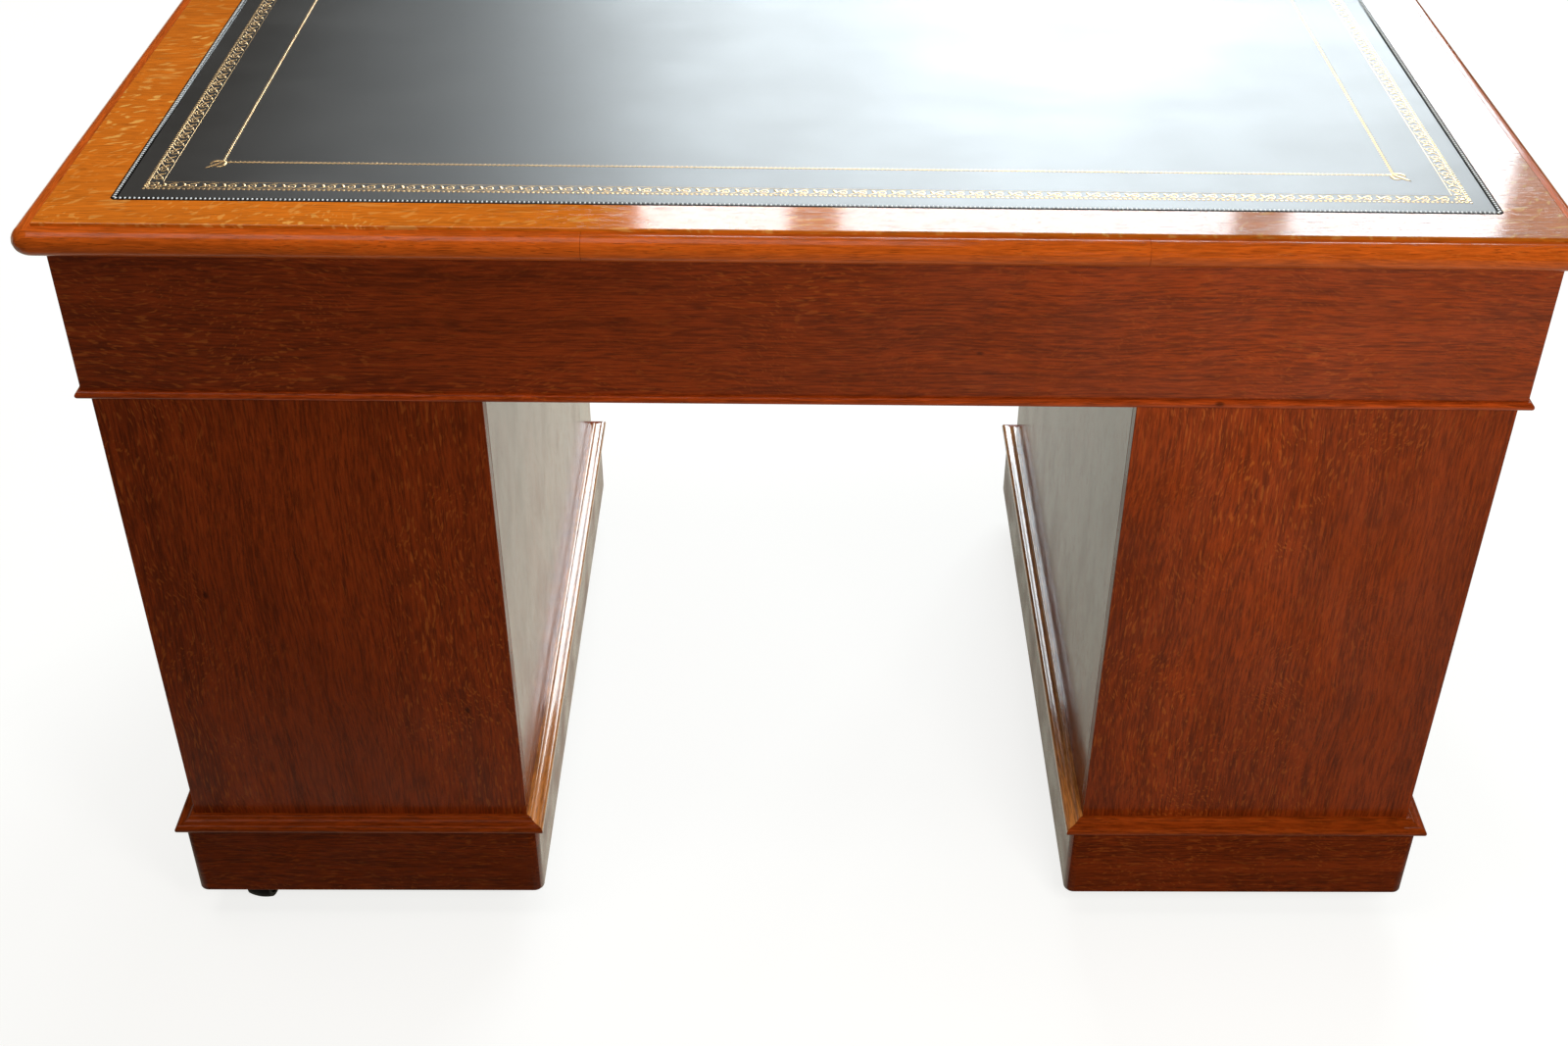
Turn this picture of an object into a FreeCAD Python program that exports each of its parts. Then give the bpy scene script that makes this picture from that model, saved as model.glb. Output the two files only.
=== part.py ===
"""Twin-pedestal oak writing desk with a leather top, nine drawers and eight castors.

Frame: +Z is up and the floor is at zero. X runs along the desk. The drawers face -Y and the
plain back faces +Y. The origin is on the floor under the middle of the desk. Lengths are in mm.
"""
import FreeCAD
import Part
import Sketcher
import math
import operator
import os

# Driving sizes, each written once, grouped by the piece that they belong to.
SIZES = {
    # Main block sizes of the two pedestals and the drawer section on top of them
    "pedestal_width": 334,
    "pedestal_depth": 737,
    "kneehole_width": 566,
    "castor_clearance": 38,
    "plinth_height": 86.5,
    "case_height": 506.5,
    "frieze_height": 141,
    "frieze_step": 5,
    # Writing top
    "top_overhang": 22,
    "top_thick": 25,
    "edge_flat": 6,
    "edge_nose_radius": 11,
    "edge_joint_right": 187,
    "edge_joint_left": 273,
    "edge_joint_gap": 0.3,
    "border_end": 53,
    "border_side": 45,
    "leather_thick": 1.5,
    "leather_gap": 0.4,
    # Carcass boards
    "side_thick": 18,
    "back_thick": 15,
    "base_thick": 20,
    "case_top_thick": 18,
    "rail_thick": 16,
    "rail_depth": 60,
    "rail_reveal": 1,
    "housing_depth": 6,
    "runner_width": 24,
    "frieze_wall": 18,
    "frieze_rail_thick": 20,
    "frieze_top_rail_thick": 16,
    "partition_thick": 20,
    # Half-round bead under the drawer section
    "bead_flat": 1.25,
    "bead_radius": 3.5,
    # Plinth and the ogee moulding that stands on it
    "plinth_thick": 12,
    "plinth_step": 11,
    "plinth_round": 10,
    "ogee_nose_radius": 4.5,
    "ogee_cove_run": 7.5,
    "ogee_cove_rise": 2.4,
    "ogee_cove_radius": 9,
    "ogee_ovolo_run": 3,
    "ogee_ovolo_rise": 1.6,
    "ogee_ovolo_radius": 2.5,
    "ogee_flat": 2.5,
    # Drawers
    "drawer_step": 16,
    "drawer_rear_room": 74,
    "front_thick": 20,
    "lap_thick": 6,
    "lining_thick": 10,
    "bottom_thick": 6,
    "bottom_rise": 12,
    "groove_depth": 5,
    "side_drop": 3,
    "back_drop": 8,
    "front_gap": 1,
    "run_gap": 0.3,
    "tail_pitch": 44,
    "pin_narrow": 5,
    "pin_wide": 9,
    # Turned knobs
    "knob_inset": 76,
    "centre_knob_inset": 130,
    "knob_dome": 8,
    "knob_under_radius": 6,
    "knob_cove_radius": 3,
    "knob_neck_radius": 9,
    "knob_neck_length": 4,
    "knob_lip": 1,
    "knob_base_thick": 3,
    "spigot_radius": 5,
    "spigot_length": 15,
    "spigot_fit": 0.1,
    # Keyholes
    "keyhole_radius": 3.2,
    "keyhole_slot_width": 3,
    "keyhole_slot_drop": 9,
    "keyhole_drop": 22,
    # Castors
    "castor_height": 62,
    "castor_block_depth": 68,
    "castor_block_width": 92,
    "castor_trail": 12,
    "wheel_radius": 17,
    "wheel_half_width": 12,
    "wheel_crown": 1.8,
    "wheel_rim_depth": 4,
    "wheel_dish": 2,
    "wheel_hub_radius": 6.5,
    "wheel_boss": 0.4,
    "axle_radius": 2.5,
    "axle_fit": 0.05,
    "fork_gap": 0.5,
    "fork_wall": 3,
    "fork_boss_radius": 6,
    "fork_hub_radius": 13,
    "fork_hub_height": 7,
    "fork_arm_half": 10,
    "pintle_radius": 4,
    "pintle_fit": 0.05,
    "pintle_head_radius": 6.5,
    "pintle_head_thick": 2,
    "plate_radius": 22,
    "plate_thick": 3,
    "swivel_gap": 0.3,
    # Hairline left in each mitred corner, measured along the strip
    "mitre_gap": 0.2,
    # How far a cutting shape runs past the face that it leaves
    "overrun": 2,
}

# Resting directions of the castors: where each wheel trails, in degrees turned from +X.
CASTOR_TURNS = {
    "right_back_outer": 80,
    "right_back_inner": 250,
    "right_front_outer": 205,
    "right_front_inner": 300,
    "left_back_outer": 285,
    "left_back_inner": 240,
    "left_front_outer": 330,
    "left_front_inner": 80,
}

doc = FreeCAD.newDocument("pedestal_desk")


class Size:
    """A length with its present value and the sheet formula that it is bound to."""

    def __init__(self, value, formula):
        self.value = value
        self.formula = formula

    def __add__(self, other):
        return combine(self, "+", other)

    def __radd__(self, other):
        return combine(other, "+", self)

    def __sub__(self, other):
        return combine(self, "-", other)

    def __rsub__(self, other):
        return combine(other, "-", self)

    def __mul__(self, other):
        return combine(self, "*", other)

    def __rmul__(self, other):
        return combine(other, "*", self)

    def __truediv__(self, other):
        return combine(self, "/", other)

    def __neg__(self):
        return combine(0, "-", self)


OPERATIONS = {
    "+": operator.add,
    "-": operator.sub,
    "*": operator.mul,
    "/": operator.truediv,
}


def as_size(number):
    """A plain count or ratio as a size; a size stays as it is."""
    if isinstance(number, Size):
        return number
    return Size(number, repr(number))


def combine(left, sign, right):
    left = as_size(left)
    right = as_size(right)
    value = OPERATIONS[sign](left.value, right.value)
    return Size(value, f"({left.formula} {sign} {right.formula})")


class SizeSheet:
    """The sheet of driving sizes; each size is an attribute under its alias."""

    def __init__(self, sizes):
        sheet = doc.addObject("Spreadsheet::Sheet", "Sizes")
        for row, (alias, value) in enumerate(sizes.items(), start=1):
            sheet.set(f"A{row}", alias)
            sheet.set(f"B{row}", str(value))
            sheet.setAlias(f"B{row}", alias)
            setattr(self, alias, Size(value, f"Sizes.{alias}"))
        doc.recompute()


desk = SizeSheet(SIZES)


# Turns in degrees: a square corner and the half of it up to a mitre
QUARTER = 90
HALF_CORNER = 45


# Helpers that make document objects bound to the sheet

def bind(thing, **sizes):
    """Bind properties of a document object to sizes."""
    for name, size in sizes.items():
        thing.setExpression(name, as_size(size).formula)


def place(thing, x, y, z, turn=0):
    """Put an object at a point given in sizes, turned about the vertical in degrees."""
    up = FreeCAD.Vector(0, 0, 1)
    thing.Placement = FreeCAD.Placement(FreeCAD.Vector(), FreeCAD.Rotation(up, turn))
    for axis, size in zip("xyz", (x, y, z)):
        thing.setExpression(f"Placement.Base.{axis}", as_size(size).formula)
    return thing


def board(name, low, span):
    """A square board from its lowest corner and its span along X, Y and Z."""
    block = doc.addObject("Part::Box", name)
    bind(block, Length=span[0], Width=span[1], Height=span[2])
    return place(block, *low)


def rod(name, radius, length, x, y, z, tilt=None):
    """A round rod that starts at a point; it stands on +Z or, with a tilt, lies along +Y."""
    cylinder = doc.addObject("Part::Cylinder", name)
    bind(cylinder, Radius=radius, Height=length)
    place(cylinder, x, y, z)
    if tilt:
        cylinder.setExpression("Placement.Rotation", tilt)
    return cylinder


ALONG_Y = "rotation(vector(1; 0; 0); -90)"


def group(name, pieces):
    """Separate solids held in one object."""
    compound = doc.addObject("Part::Compound", name)
    compound.Links = pieces
    return compound


def cut(name, base, tools):
    """The base with all the tools taken out of it."""
    result = doc.addObject("Part::Cut", name)
    result.Base = base
    result.Tool = tools[0] if len(tools) == 1 else group(f"{name}_tools", tools)
    return result


def fuse(name, pieces):
    """Several shapes joined into one solid."""
    result = doc.addObject("Part::MultiFuse", name)
    result.Shapes = pieces
    result.Refine = True
    return result


def common(name, base, tool):
    """What two shapes share."""
    result = doc.addObject("Part::Common", name)
    result.Base = base
    result.Tool = tool
    return result


def copy_of(name, original, x, y, z, turn=0):
    """A repeat of a finished piece at another place."""
    link = doc.addObject("App::Link", name)
    link.LinkedObject = original
    return place(link, x, y, z, turn)


def sketch_on(body, name, role):
    """A sketch on one of the body's own origin planes."""
    plane = next(item for item in body.Origin.OriginFeatures if item.Role == role)
    sketch = body.newObject("Sketcher::SketchObject", name)
    sketch.AttachmentSupport = [(plane, "")]
    sketch.MapMode = "FlatFace"
    return sketch


def pin_point(sketch, edge, end, x, y):
    """Fix one point of a sketch at a place given in sizes from the sketch's origin."""
    for kind, axis, size in (("DistanceX", -2, as_size(x)), ("DistanceY", -1, as_size(y))):
        if size.value == 0:
            sketch.addConstraint(Sketcher.Constraint("PointOnObject", edge, end, axis))
            continue
        if size.value > 0:
            points = (-1, 1, edge, end)
        else:
            points = (edge, end, -1, 1)
            size = -size
        number = sketch.addConstraint(Sketcher.Constraint(kind, *points, size.value))
        sketch.setExpression(f"Constraints[{number}]", size.formula)


def bowed_edge(start, finish, radius, bulge):
    """An arc of a radius between two points, bowed right of its travel or, if negative, left."""
    run = finish - start
    half = run.Length / 2
    rise = radius - math.sqrt(max(radius * radius - half * half, 0))
    right = FreeCAD.Vector(run.y, -run.x, 0).normalize()
    middle = (start + finish) * 0.5 + right * (rise * bulge)
    return Part.Arc(start, middle, finish)


def outline(body, name, role, corners):
    """A closed sketch through corners (x, y) or (x, y, radius, bulge), where the last two bow
    the edge that leaves the corner. Outlines run anticlockwise, so a bulge of 1 bows outwards."""
    sketch = sketch_on(body, name, role)
    places = [FreeCAD.Vector(as_size(c[0]).value, as_size(c[1]).value, 0) for c in corners]
    count = len(corners)
    for index, corner in enumerate(corners):
        start = places[index]
        finish = places[(index + 1) % count]
        if len(corner) == 2:
            sketch.addGeometry(Part.LineSegment(start, finish))
        else:
            sketch.addGeometry(bowed_edge(start, finish, corner[2].value, corner[3]))
    arc_ends = {}
    for index, corner in enumerate(corners):
        # An arc runs anticlockwise, so one that bows inwards has its two ends swapped.
        swapped = len(corner) > 2 and corner[3] < 0
        arc_ends[index] = (2, 1) if swapped else (1, 2)
    for index, corner in enumerate(corners):
        following = (index + 1) % count
        pin_point(sketch, index, arc_ends[index][0], corner[0], corner[1])
        sketch.addConstraint(Sketcher.Constraint(
            "Coincident", index, arc_ends[index][1], following, arc_ends[following][0]))
        if len(corner) > 2:
            number = sketch.addConstraint(Sketcher.Constraint("Radius", index, corner[2].value))
            sketch.setExpression(f"Constraints[{number}]", corner[2].formula)
    return sketch


def turned(name, corners, role="XY_Plane", angle=360):
    """A turned piece: an outline of (radius, distance along the axis) spun about the Y axis, or
    about the Z axis where it is drawn on the XZ plane. A smaller angle leaves a wedge of the
    turning, half of it on either side of the plane."""
    body = doc.addObject("PartDesign::Body", name)
    profile = outline(body, f"{name}_profile", role, corners)
    turning = body.newObject("PartDesign::Revolution", f"{name}_turning")
    turning.Profile = profile
    turning.ReferenceAxis = (profile, ["V_Axis"])
    turning.Angle = angle
    turning.Midplane = angle < 360
    return body


def mitred_strip(name, corners, reach, face_length):
    """A strip along X with its back on Y = 0, its section drawn in Y and Z, and both ends mitred
    for an outside corner: it is face_length long at the back and longer by 2 x reach in front."""
    body = doc.addObject("PartDesign::Body", name)
    section = outline(body, f"{name}_section", "YZ_Plane", corners)
    pad = body.newObject("PartDesign::Pad", f"{name}_length")
    pad.Profile = section
    pad.SideType = "Symmetric"
    bind(pad, Length=face_length + 2 * reach)
    half = (face_length - desk.mitre_gap) / 2
    past = desk.overrun
    for label, way in (("start", -1), ("end", 1)):
        ends = [
            (way * half - way * past, -past),
            (way * half + way * (reach + past), -past),
            (way * half + way * (reach + past), reach + past),
        ]
        mitre = outline(body, f"{name}_{label}_mitre", "XY_Plane", ends if way > 0 else ends[::-1])
        pocket = body.newObject("PartDesign::Pocket", f"{name}_{label}_cut")
        pocket.Profile = mitre
        pocket.Type = "ThroughAll"
        pocket.SideType = "Symmetric"
    return body


def round_cornered_strip(name, corners, face_length):
    """A strip along X with its back on Y = 0, whose section is also turned through half a right
    angle at both ends, so that two such strips meet in a rounded outside corner."""
    body = doc.addObject("PartDesign::Body", f"{name}_straight")
    section = outline(body, f"{name}_section", "YZ_Plane", corners)
    pad = body.newObject("PartDesign::Pad", f"{name}_length")
    pad.Profile = section
    pad.SideType = "Symmetric"
    straight = face_length - desk.mitre_gap
    bind(pad, Length=straight)
    wedge = turned(f"{name}_wedge", corners, "XZ_Plane", HALF_CORNER)
    # The wedge is drawn along +X, so a turn puts its middle between the strip's end and the mitre.
    start = copy_of(f"{name}_start", wedge, -straight / 2, 0, 0, QUARTER + HALF_CORNER / 2)
    end = copy_of(f"{name}_end", wedge, straight / 2, 0, 0, QUARTER - HALF_CORNER / 2)
    return fuse(f"{name}_rounded", [body, start, end])


def round_cornered_board(name, thick, radius, height, face_length):
    """An upright board along X with its back on Y = 0 and both ends mitred, whose outside arrises
    are rounded off to a radius."""
    body = doc.addObject("PartDesign::Body", name)
    half = (face_length - desk.mitre_gap) / 2
    centre = thick - radius
    tip = centre + radius * math.cos(math.radians(HALF_CORNER))
    plan = outline(body, f"{name}_plan", "XY_Plane", [
        (-half, 0),
        (half, 0),
        (half + tip, tip, radius, 1),
        (half + centre, thick),
        (-half - centre, thick, radius, 1),
        (-half - tip, tip),
    ])
    pad = body.newObject("PartDesign::Pad", f"{name}_rise")
    pad.Profile = plan
    bind(pad, Length=height)
    return body


def ring(name, strip_x, strip_y, middle_x, half_x, half_y, z):
    """Four mitred strips round a rectangle: back, front, +X end and -X end."""
    return [
        copy_of(f"{name}_back", strip_x, middle_x, half_y, z),
        copy_of(f"{name}_front", strip_x, middle_x, -half_y, z, 180),
        copy_of(f"{name}_right", strip_y, middle_x + half_x, 0, z, -90),
        copy_of(f"{name}_left", strip_y, middle_x - half_x, 0, z, 90),
    ]


# Levels and faces that several pieces share
half_depth = desk.pedestal_depth / 2
inner_face = desk.kneehole_width / 2
outer_face = inner_face + desk.pedestal_width
pedestal_middle = inner_face + desk.pedestal_width / 2
plinth_top = desk.castor_clearance + desk.plinth_height
case_top = plinth_top + desk.case_height
frieze_top = case_top + desk.frieze_height
frieze_half_x = outer_face + desk.frieze_step
frieze_half_y = half_depth + desk.frieze_step
ogee_run = desk.ogee_cove_run + desk.ogee_ovolo_run
ogee_rise = desk.ogee_cove_rise + desk.ogee_ovolo_rise
ogee_reach = desk.ogee_nose_radius + ogee_run + desk.ogee_flat
ogee_height = 2 * desk.ogee_nose_radius + ogee_rise
edge_reach = desk.edge_flat + desk.edge_nose_radius
edge_height = 2 * desk.edge_nose_radius
board_half_x = frieze_half_x + desk.top_overhang - edge_reach
board_half_y = frieze_half_y + desk.top_overhang - edge_reach
base_rail_height = ogee_height + desk.rail_reveal
case_inside = desk.pedestal_width - 2 * desk.side_thick
drawer_length = desk.pedestal_depth - desk.back_thick - desk.drawer_rear_room
drawer_stack = desk.case_height - base_rail_height - desk.case_top_thick - 2 * desk.rail_thick
nodes = {}


def node(label, thing):
    """Name a finished sub-part; the label is also its file's name."""
    thing.Label = label
    nodes[label] = thing


def at_side(side, start, width):
    """Lowest X of a piece that starts a distance outside the kneehole's middle line."""
    return start if side == "right" else -(start + width)


# Writing top: board, moulded edge and leather lining

def make_top():
    """A board with a shallow recess for the leather and a half-round edge with rounded corners.
    The edge lies lower than the board, which leaves a small step along its inner line."""
    blank = board("top_blank", (-board_half_x, -board_half_y, frieze_top),
                  (2 * board_half_x, 2 * board_half_y, desk.top_thick))
    recess_x = board_half_x - desk.border_end
    recess_y = board_half_y - desk.border_side
    floor = frieze_top + desk.top_thick - desk.leather_thick
    recess = board("leather_recess", (-recess_x, -recess_y, floor),
                   (2 * recess_x, 2 * recess_y, desk.leather_thick + desk.overrun))
    node("top_board", cut("top_board_cut", blank, [recess]))
    gap = desk.leather_gap
    node("leather_inset", board("leather", (gap - recess_x, gap - recess_y, floor),
                                (2 * (recess_x - gap), 2 * (recess_y - gap), desk.leather_thick)))

    nose = desk.edge_nose_radius
    corners = [
        (0, 0),
        (desk.edge_flat, 0, nose, 1),
        (edge_reach, nose, nose, 1),
        (desk.edge_flat, edge_height),
        (0, edge_height),
    ]
    strip_x = round_cornered_strip("edge_strip_x", corners, 2 * board_half_x)
    strip_y = round_cornered_strip("edge_strip_y", corners, 2 * board_half_y)
    back, front, right, left = ring("top_edge", strip_x, strip_y, 0, board_half_x, board_half_y,
                                    frieze_top)
    # The back strip is made of three lengths butted together.
    past = desk.overrun
    end = board_half_x + edge_reach + past
    gap = desk.edge_joint_gap
    stretches = [(-end, -desk.edge_joint_left), (gap - desk.edge_joint_left, desk.edge_joint_right),
                 (gap + desk.edge_joint_right, end)]
    lengths = []
    for number, (start, finish) in enumerate(stretches, start=1):
        stretch = board(f"edge_stretch_{number}", (start, board_half_y - past, frieze_top - past),
                        (finish - start, edge_reach + 2 * past, edge_height + 2 * past))
        lengths.append(common(f"edge_back_{number}", back, stretch))
    node("top_edge", group("top_edge_lengths", lengths + [front, right, left]))


# Drawer section under the top

def make_frieze():
    """Back and end boards, front and rear rails let into the ends, and two partitions."""
    wall = desk.frieze_wall
    inside_y = frieze_half_y - wall
    node("frieze_back", board("frieze_back_board", (-frieze_half_x, inside_y, case_top),
                              (2 * frieze_half_x, wall, desk.frieze_height)))
    reach = frieze_half_x - wall + desk.housing_depth
    upper_low = frieze_top - desk.frieze_top_rail_thick
    rails = [
        board("frieze_front_rail", (-reach, -frieze_half_y, case_top),
              (2 * reach, desk.rail_depth, desk.frieze_rail_thick)),
        board("frieze_upper_rail", (-reach, -frieze_half_y, upper_low),
              (2 * reach, desk.rail_depth, desk.frieze_top_rail_thick)),
        board("frieze_rear_rail", (-reach, inside_y - desk.rail_depth, case_top),
              (2 * reach, desk.rail_depth, desk.frieze_rail_thick)),
    ]
    ends = []
    for side in ("left", "right"):
        low = (at_side(side, frieze_half_x - wall, wall), -frieze_half_y, case_top)
        blank = board(f"frieze_end_{side}_board", low,
                      (wall, frieze_half_y + inside_y, desk.frieze_height))
        ends.append(cut(f"frieze_end_{side}", blank, rails))
    node("frieze_ends", group("frieze_end_boards", ends))
    node("frieze_rails", group("frieze_rail_boards", rails))
    rail_top = case_top + desk.frieze_rail_thick
    thick = desk.partition_thick
    partitions = [
        board(f"partition_{side}", (at_side(side, inner_face, thick), -frieze_half_y, rail_top),
              (thick, frieze_half_y + inside_y, upper_low - rail_top))
        for side in ("left", "right")
    ]
    node("frieze_partitions", group("partition_boards", partitions))

    bead = desk.bead_radius
    reach = desk.bead_flat + bead
    corners = [
        (0, 0),
        (desk.bead_flat, 0, bead, 1),
        (reach, bead, bead, 1),
        (desk.bead_flat, 2 * bead),
        (0, 2 * bead),
    ]
    strip_x = mitred_strip("bead_strip_x", corners, reach, 2 * frieze_half_x)
    strip_y = mitred_strip("bead_strip_y", corners, reach, 2 * frieze_half_y)
    lengths = ring("bead", strip_x, strip_y, 0, frieze_half_x, frieze_half_y, case_top)
    node("frieze_moulding", group("bead_lengths", lengths))


# Pedestals

def drawer_levels():
    """Bottom level and height of a pedestal's three openings, lowest first; each is taller than
    the one above it by the drawer step."""
    level = plinth_top + base_rail_height
    levels = {}
    for name, steps in (("lower", 1), ("middle", 0), ("upper", -1)):
        height = drawer_stack / 3 + steps * desk.drawer_step
        levels[name] = (level, height)
        level = level + height + desk.rail_thick
    return levels


def make_pedestals():
    """Two open-fronted cases: sides, back, base and top boards, and rails let into the sides."""
    sides = []
    backs = []
    flats = []
    rails = []
    wall = desk.side_thick
    inset = desk.plinth_thick - desk.plinth_step
    board_depth = desk.pedestal_depth - desk.back_thick
    for hand in ("left", "right"):
        let_in = wall - desk.housing_depth
        across = desk.pedestal_width - 2 * let_in
        across_x = at_side(hand, inner_face + let_in, across)
        top = board(f"{hand}_case_top", (across_x, -half_depth, case_top - desk.case_top_thick),
                    (across, board_depth, desk.case_top_thick))
        base_width = desk.pedestal_width - 2 * inset
        base_x = at_side(hand, inner_face + inset, base_width)
        base = board(f"{hand}_case_base", (base_x, inset - half_depth, plinth_top - desk.base_thick),
                     (base_width, desk.pedestal_depth - 2 * inset, desk.base_thick))
        case_rails = []
        for name, (level, rise) in drawer_levels().items():
            thick = base_rail_height if name == "lower" else desk.rail_thick
            case_rails.append(board(f"{hand}_{name}_rail", (across_x, -half_depth, level - thick),
                                    (across, desk.rail_depth, thick)))
        for edge, start in (("inner", inner_face), ("outer", outer_face - wall)):
            low = (at_side(hand, start, wall), -half_depth, plinth_top)
            blank = board(f"{hand}_{edge}_side_board", low, (wall, board_depth, desk.case_height))
            sides.append(cut(f"{hand}_{edge}_side", blank, case_rails + [top]))
        back_x = at_side(hand, inner_face, desk.pedestal_width)
        backs.append(board(f"{hand}_back", (back_x, half_depth - desk.back_thick, plinth_top),
                           (desk.pedestal_width, desk.back_thick, desk.case_height)))
        flats += [top, base]
        rails += case_rails
    node("pedestal_sides", group("pedestal_side_boards", sides))
    node("pedestal_backs", group("pedestal_back_boards", backs))
    node("pedestal_boards", group("pedestal_flat_boards", flats))
    node("pedestal_rails", group("pedestal_rail_boards", rails))


def make_runners():
    """Strips behind the rails that carry the drawer sides, two to an opening."""
    runners = []
    wide = desk.runner_width
    inside_start = inner_face + desk.side_thick
    inside_end = outer_face - desk.side_thick
    start_y = desk.rail_depth - half_depth
    length = desk.pedestal_depth - desk.rail_depth - desk.back_thick
    for hand in ("left", "right"):
        for name, (level, rise) in drawer_levels().items():
            thick = base_rail_height if name == "lower" else desk.rail_thick
            for edge, start in (("inner", inside_start), ("outer", inside_end - wide)):
                low = (at_side(hand, start, wide), start_y, level - thick)
                runners.append(board(f"{hand}_{name}_{edge}_runner", low, (wide, length, thick)))
        front = desk.rail_depth - frieze_half_y
        span_y = 2 * frieze_half_y - desk.frieze_wall - 2 * desk.rail_depth
        stretches = (
            ("middle", inner_face - wide, desk.partition_thick + 2 * wide),
            ("end", frieze_half_x - desk.frieze_wall - wide, wide),
        )
        for edge, start, width in stretches:
            low = (at_side(hand, start, width), front, case_top)
            runners.append(board(f"{hand}_frieze_{edge}_runner", low,
                                 (width, span_y, desk.frieze_rail_thick)))
    node("drawer_runners", group("runner_strips", runners))


def make_plinths():
    """Mitred plinth boards under each pedestal, the ogee moulding on their ledge, and the corner
    blocks that carry the castors."""
    thick = desk.plinth_thick
    half_x = desk.pedestal_width / 2 + desk.plinth_step - thick
    half_y = half_depth + desk.plinth_step - thick
    corner = desk.plinth_round
    rise = desk.plinth_height
    board_x = round_cornered_board("plinth_board_x", thick, corner, rise, 2 * half_x)
    board_y = round_cornered_board("plinth_board_y", thick, corner, rise, 2 * half_y)

    nose = desk.ogee_nose_radius
    nose_y = ogee_reach - nose
    cove_y = nose_y - desk.ogee_cove_run
    cove_z = 2 * nose + desk.ogee_cove_rise
    section = [
        (0, 0),
        (nose_y, 0, nose, 1),
        (ogee_reach, nose, nose, 1),
        (nose_y, 2 * nose, desk.ogee_cove_radius, -1),
        (cove_y, cove_z, desk.ogee_ovolo_radius, 1),
        (desk.ogee_flat, ogee_height),
        (0, ogee_height),
    ]
    ogee_x = mitred_strip("ogee_strip_x", section, ogee_reach, desk.pedestal_width)
    ogee_y = mitred_strip("ogee_strip_y", section, ogee_reach, desk.pedestal_depth)

    plinths = []
    mouldings = []
    blocks = []
    block_x = desk.castor_block_width
    block_y = desk.castor_block_depth
    block_low = desk.castor_height
    block_rise = plinth_top - desk.base_thick - block_low
    for hand, middle in (("left", -pedestal_middle), ("right", pedestal_middle)):
        plinths += ring(f"{hand}_plinth", board_x, board_y, middle, half_x, half_y,
                        desk.castor_clearance)
        mouldings += ring(f"{hand}_ogee", ogee_x, ogee_y, middle, desk.pedestal_width / 2, half_depth,
                          plinth_top)
        for across, x in (("low", middle - half_x), ("high", middle + half_x - block_x)):
            for along, y in (("front", -half_y), ("back", half_y - block_y)):
                blocks.append(board(f"{hand}_block_{across}_{along}", (x, y, block_low),
                                    (block_x, block_y, block_rise)))
    node("plinths", group("plinth_boards", plinths))
    node("base_mouldings", group("ogee_lengths", mouldings))
    node("castor_blocks", group("corner_blocks", blocks))


# Castors

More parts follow.
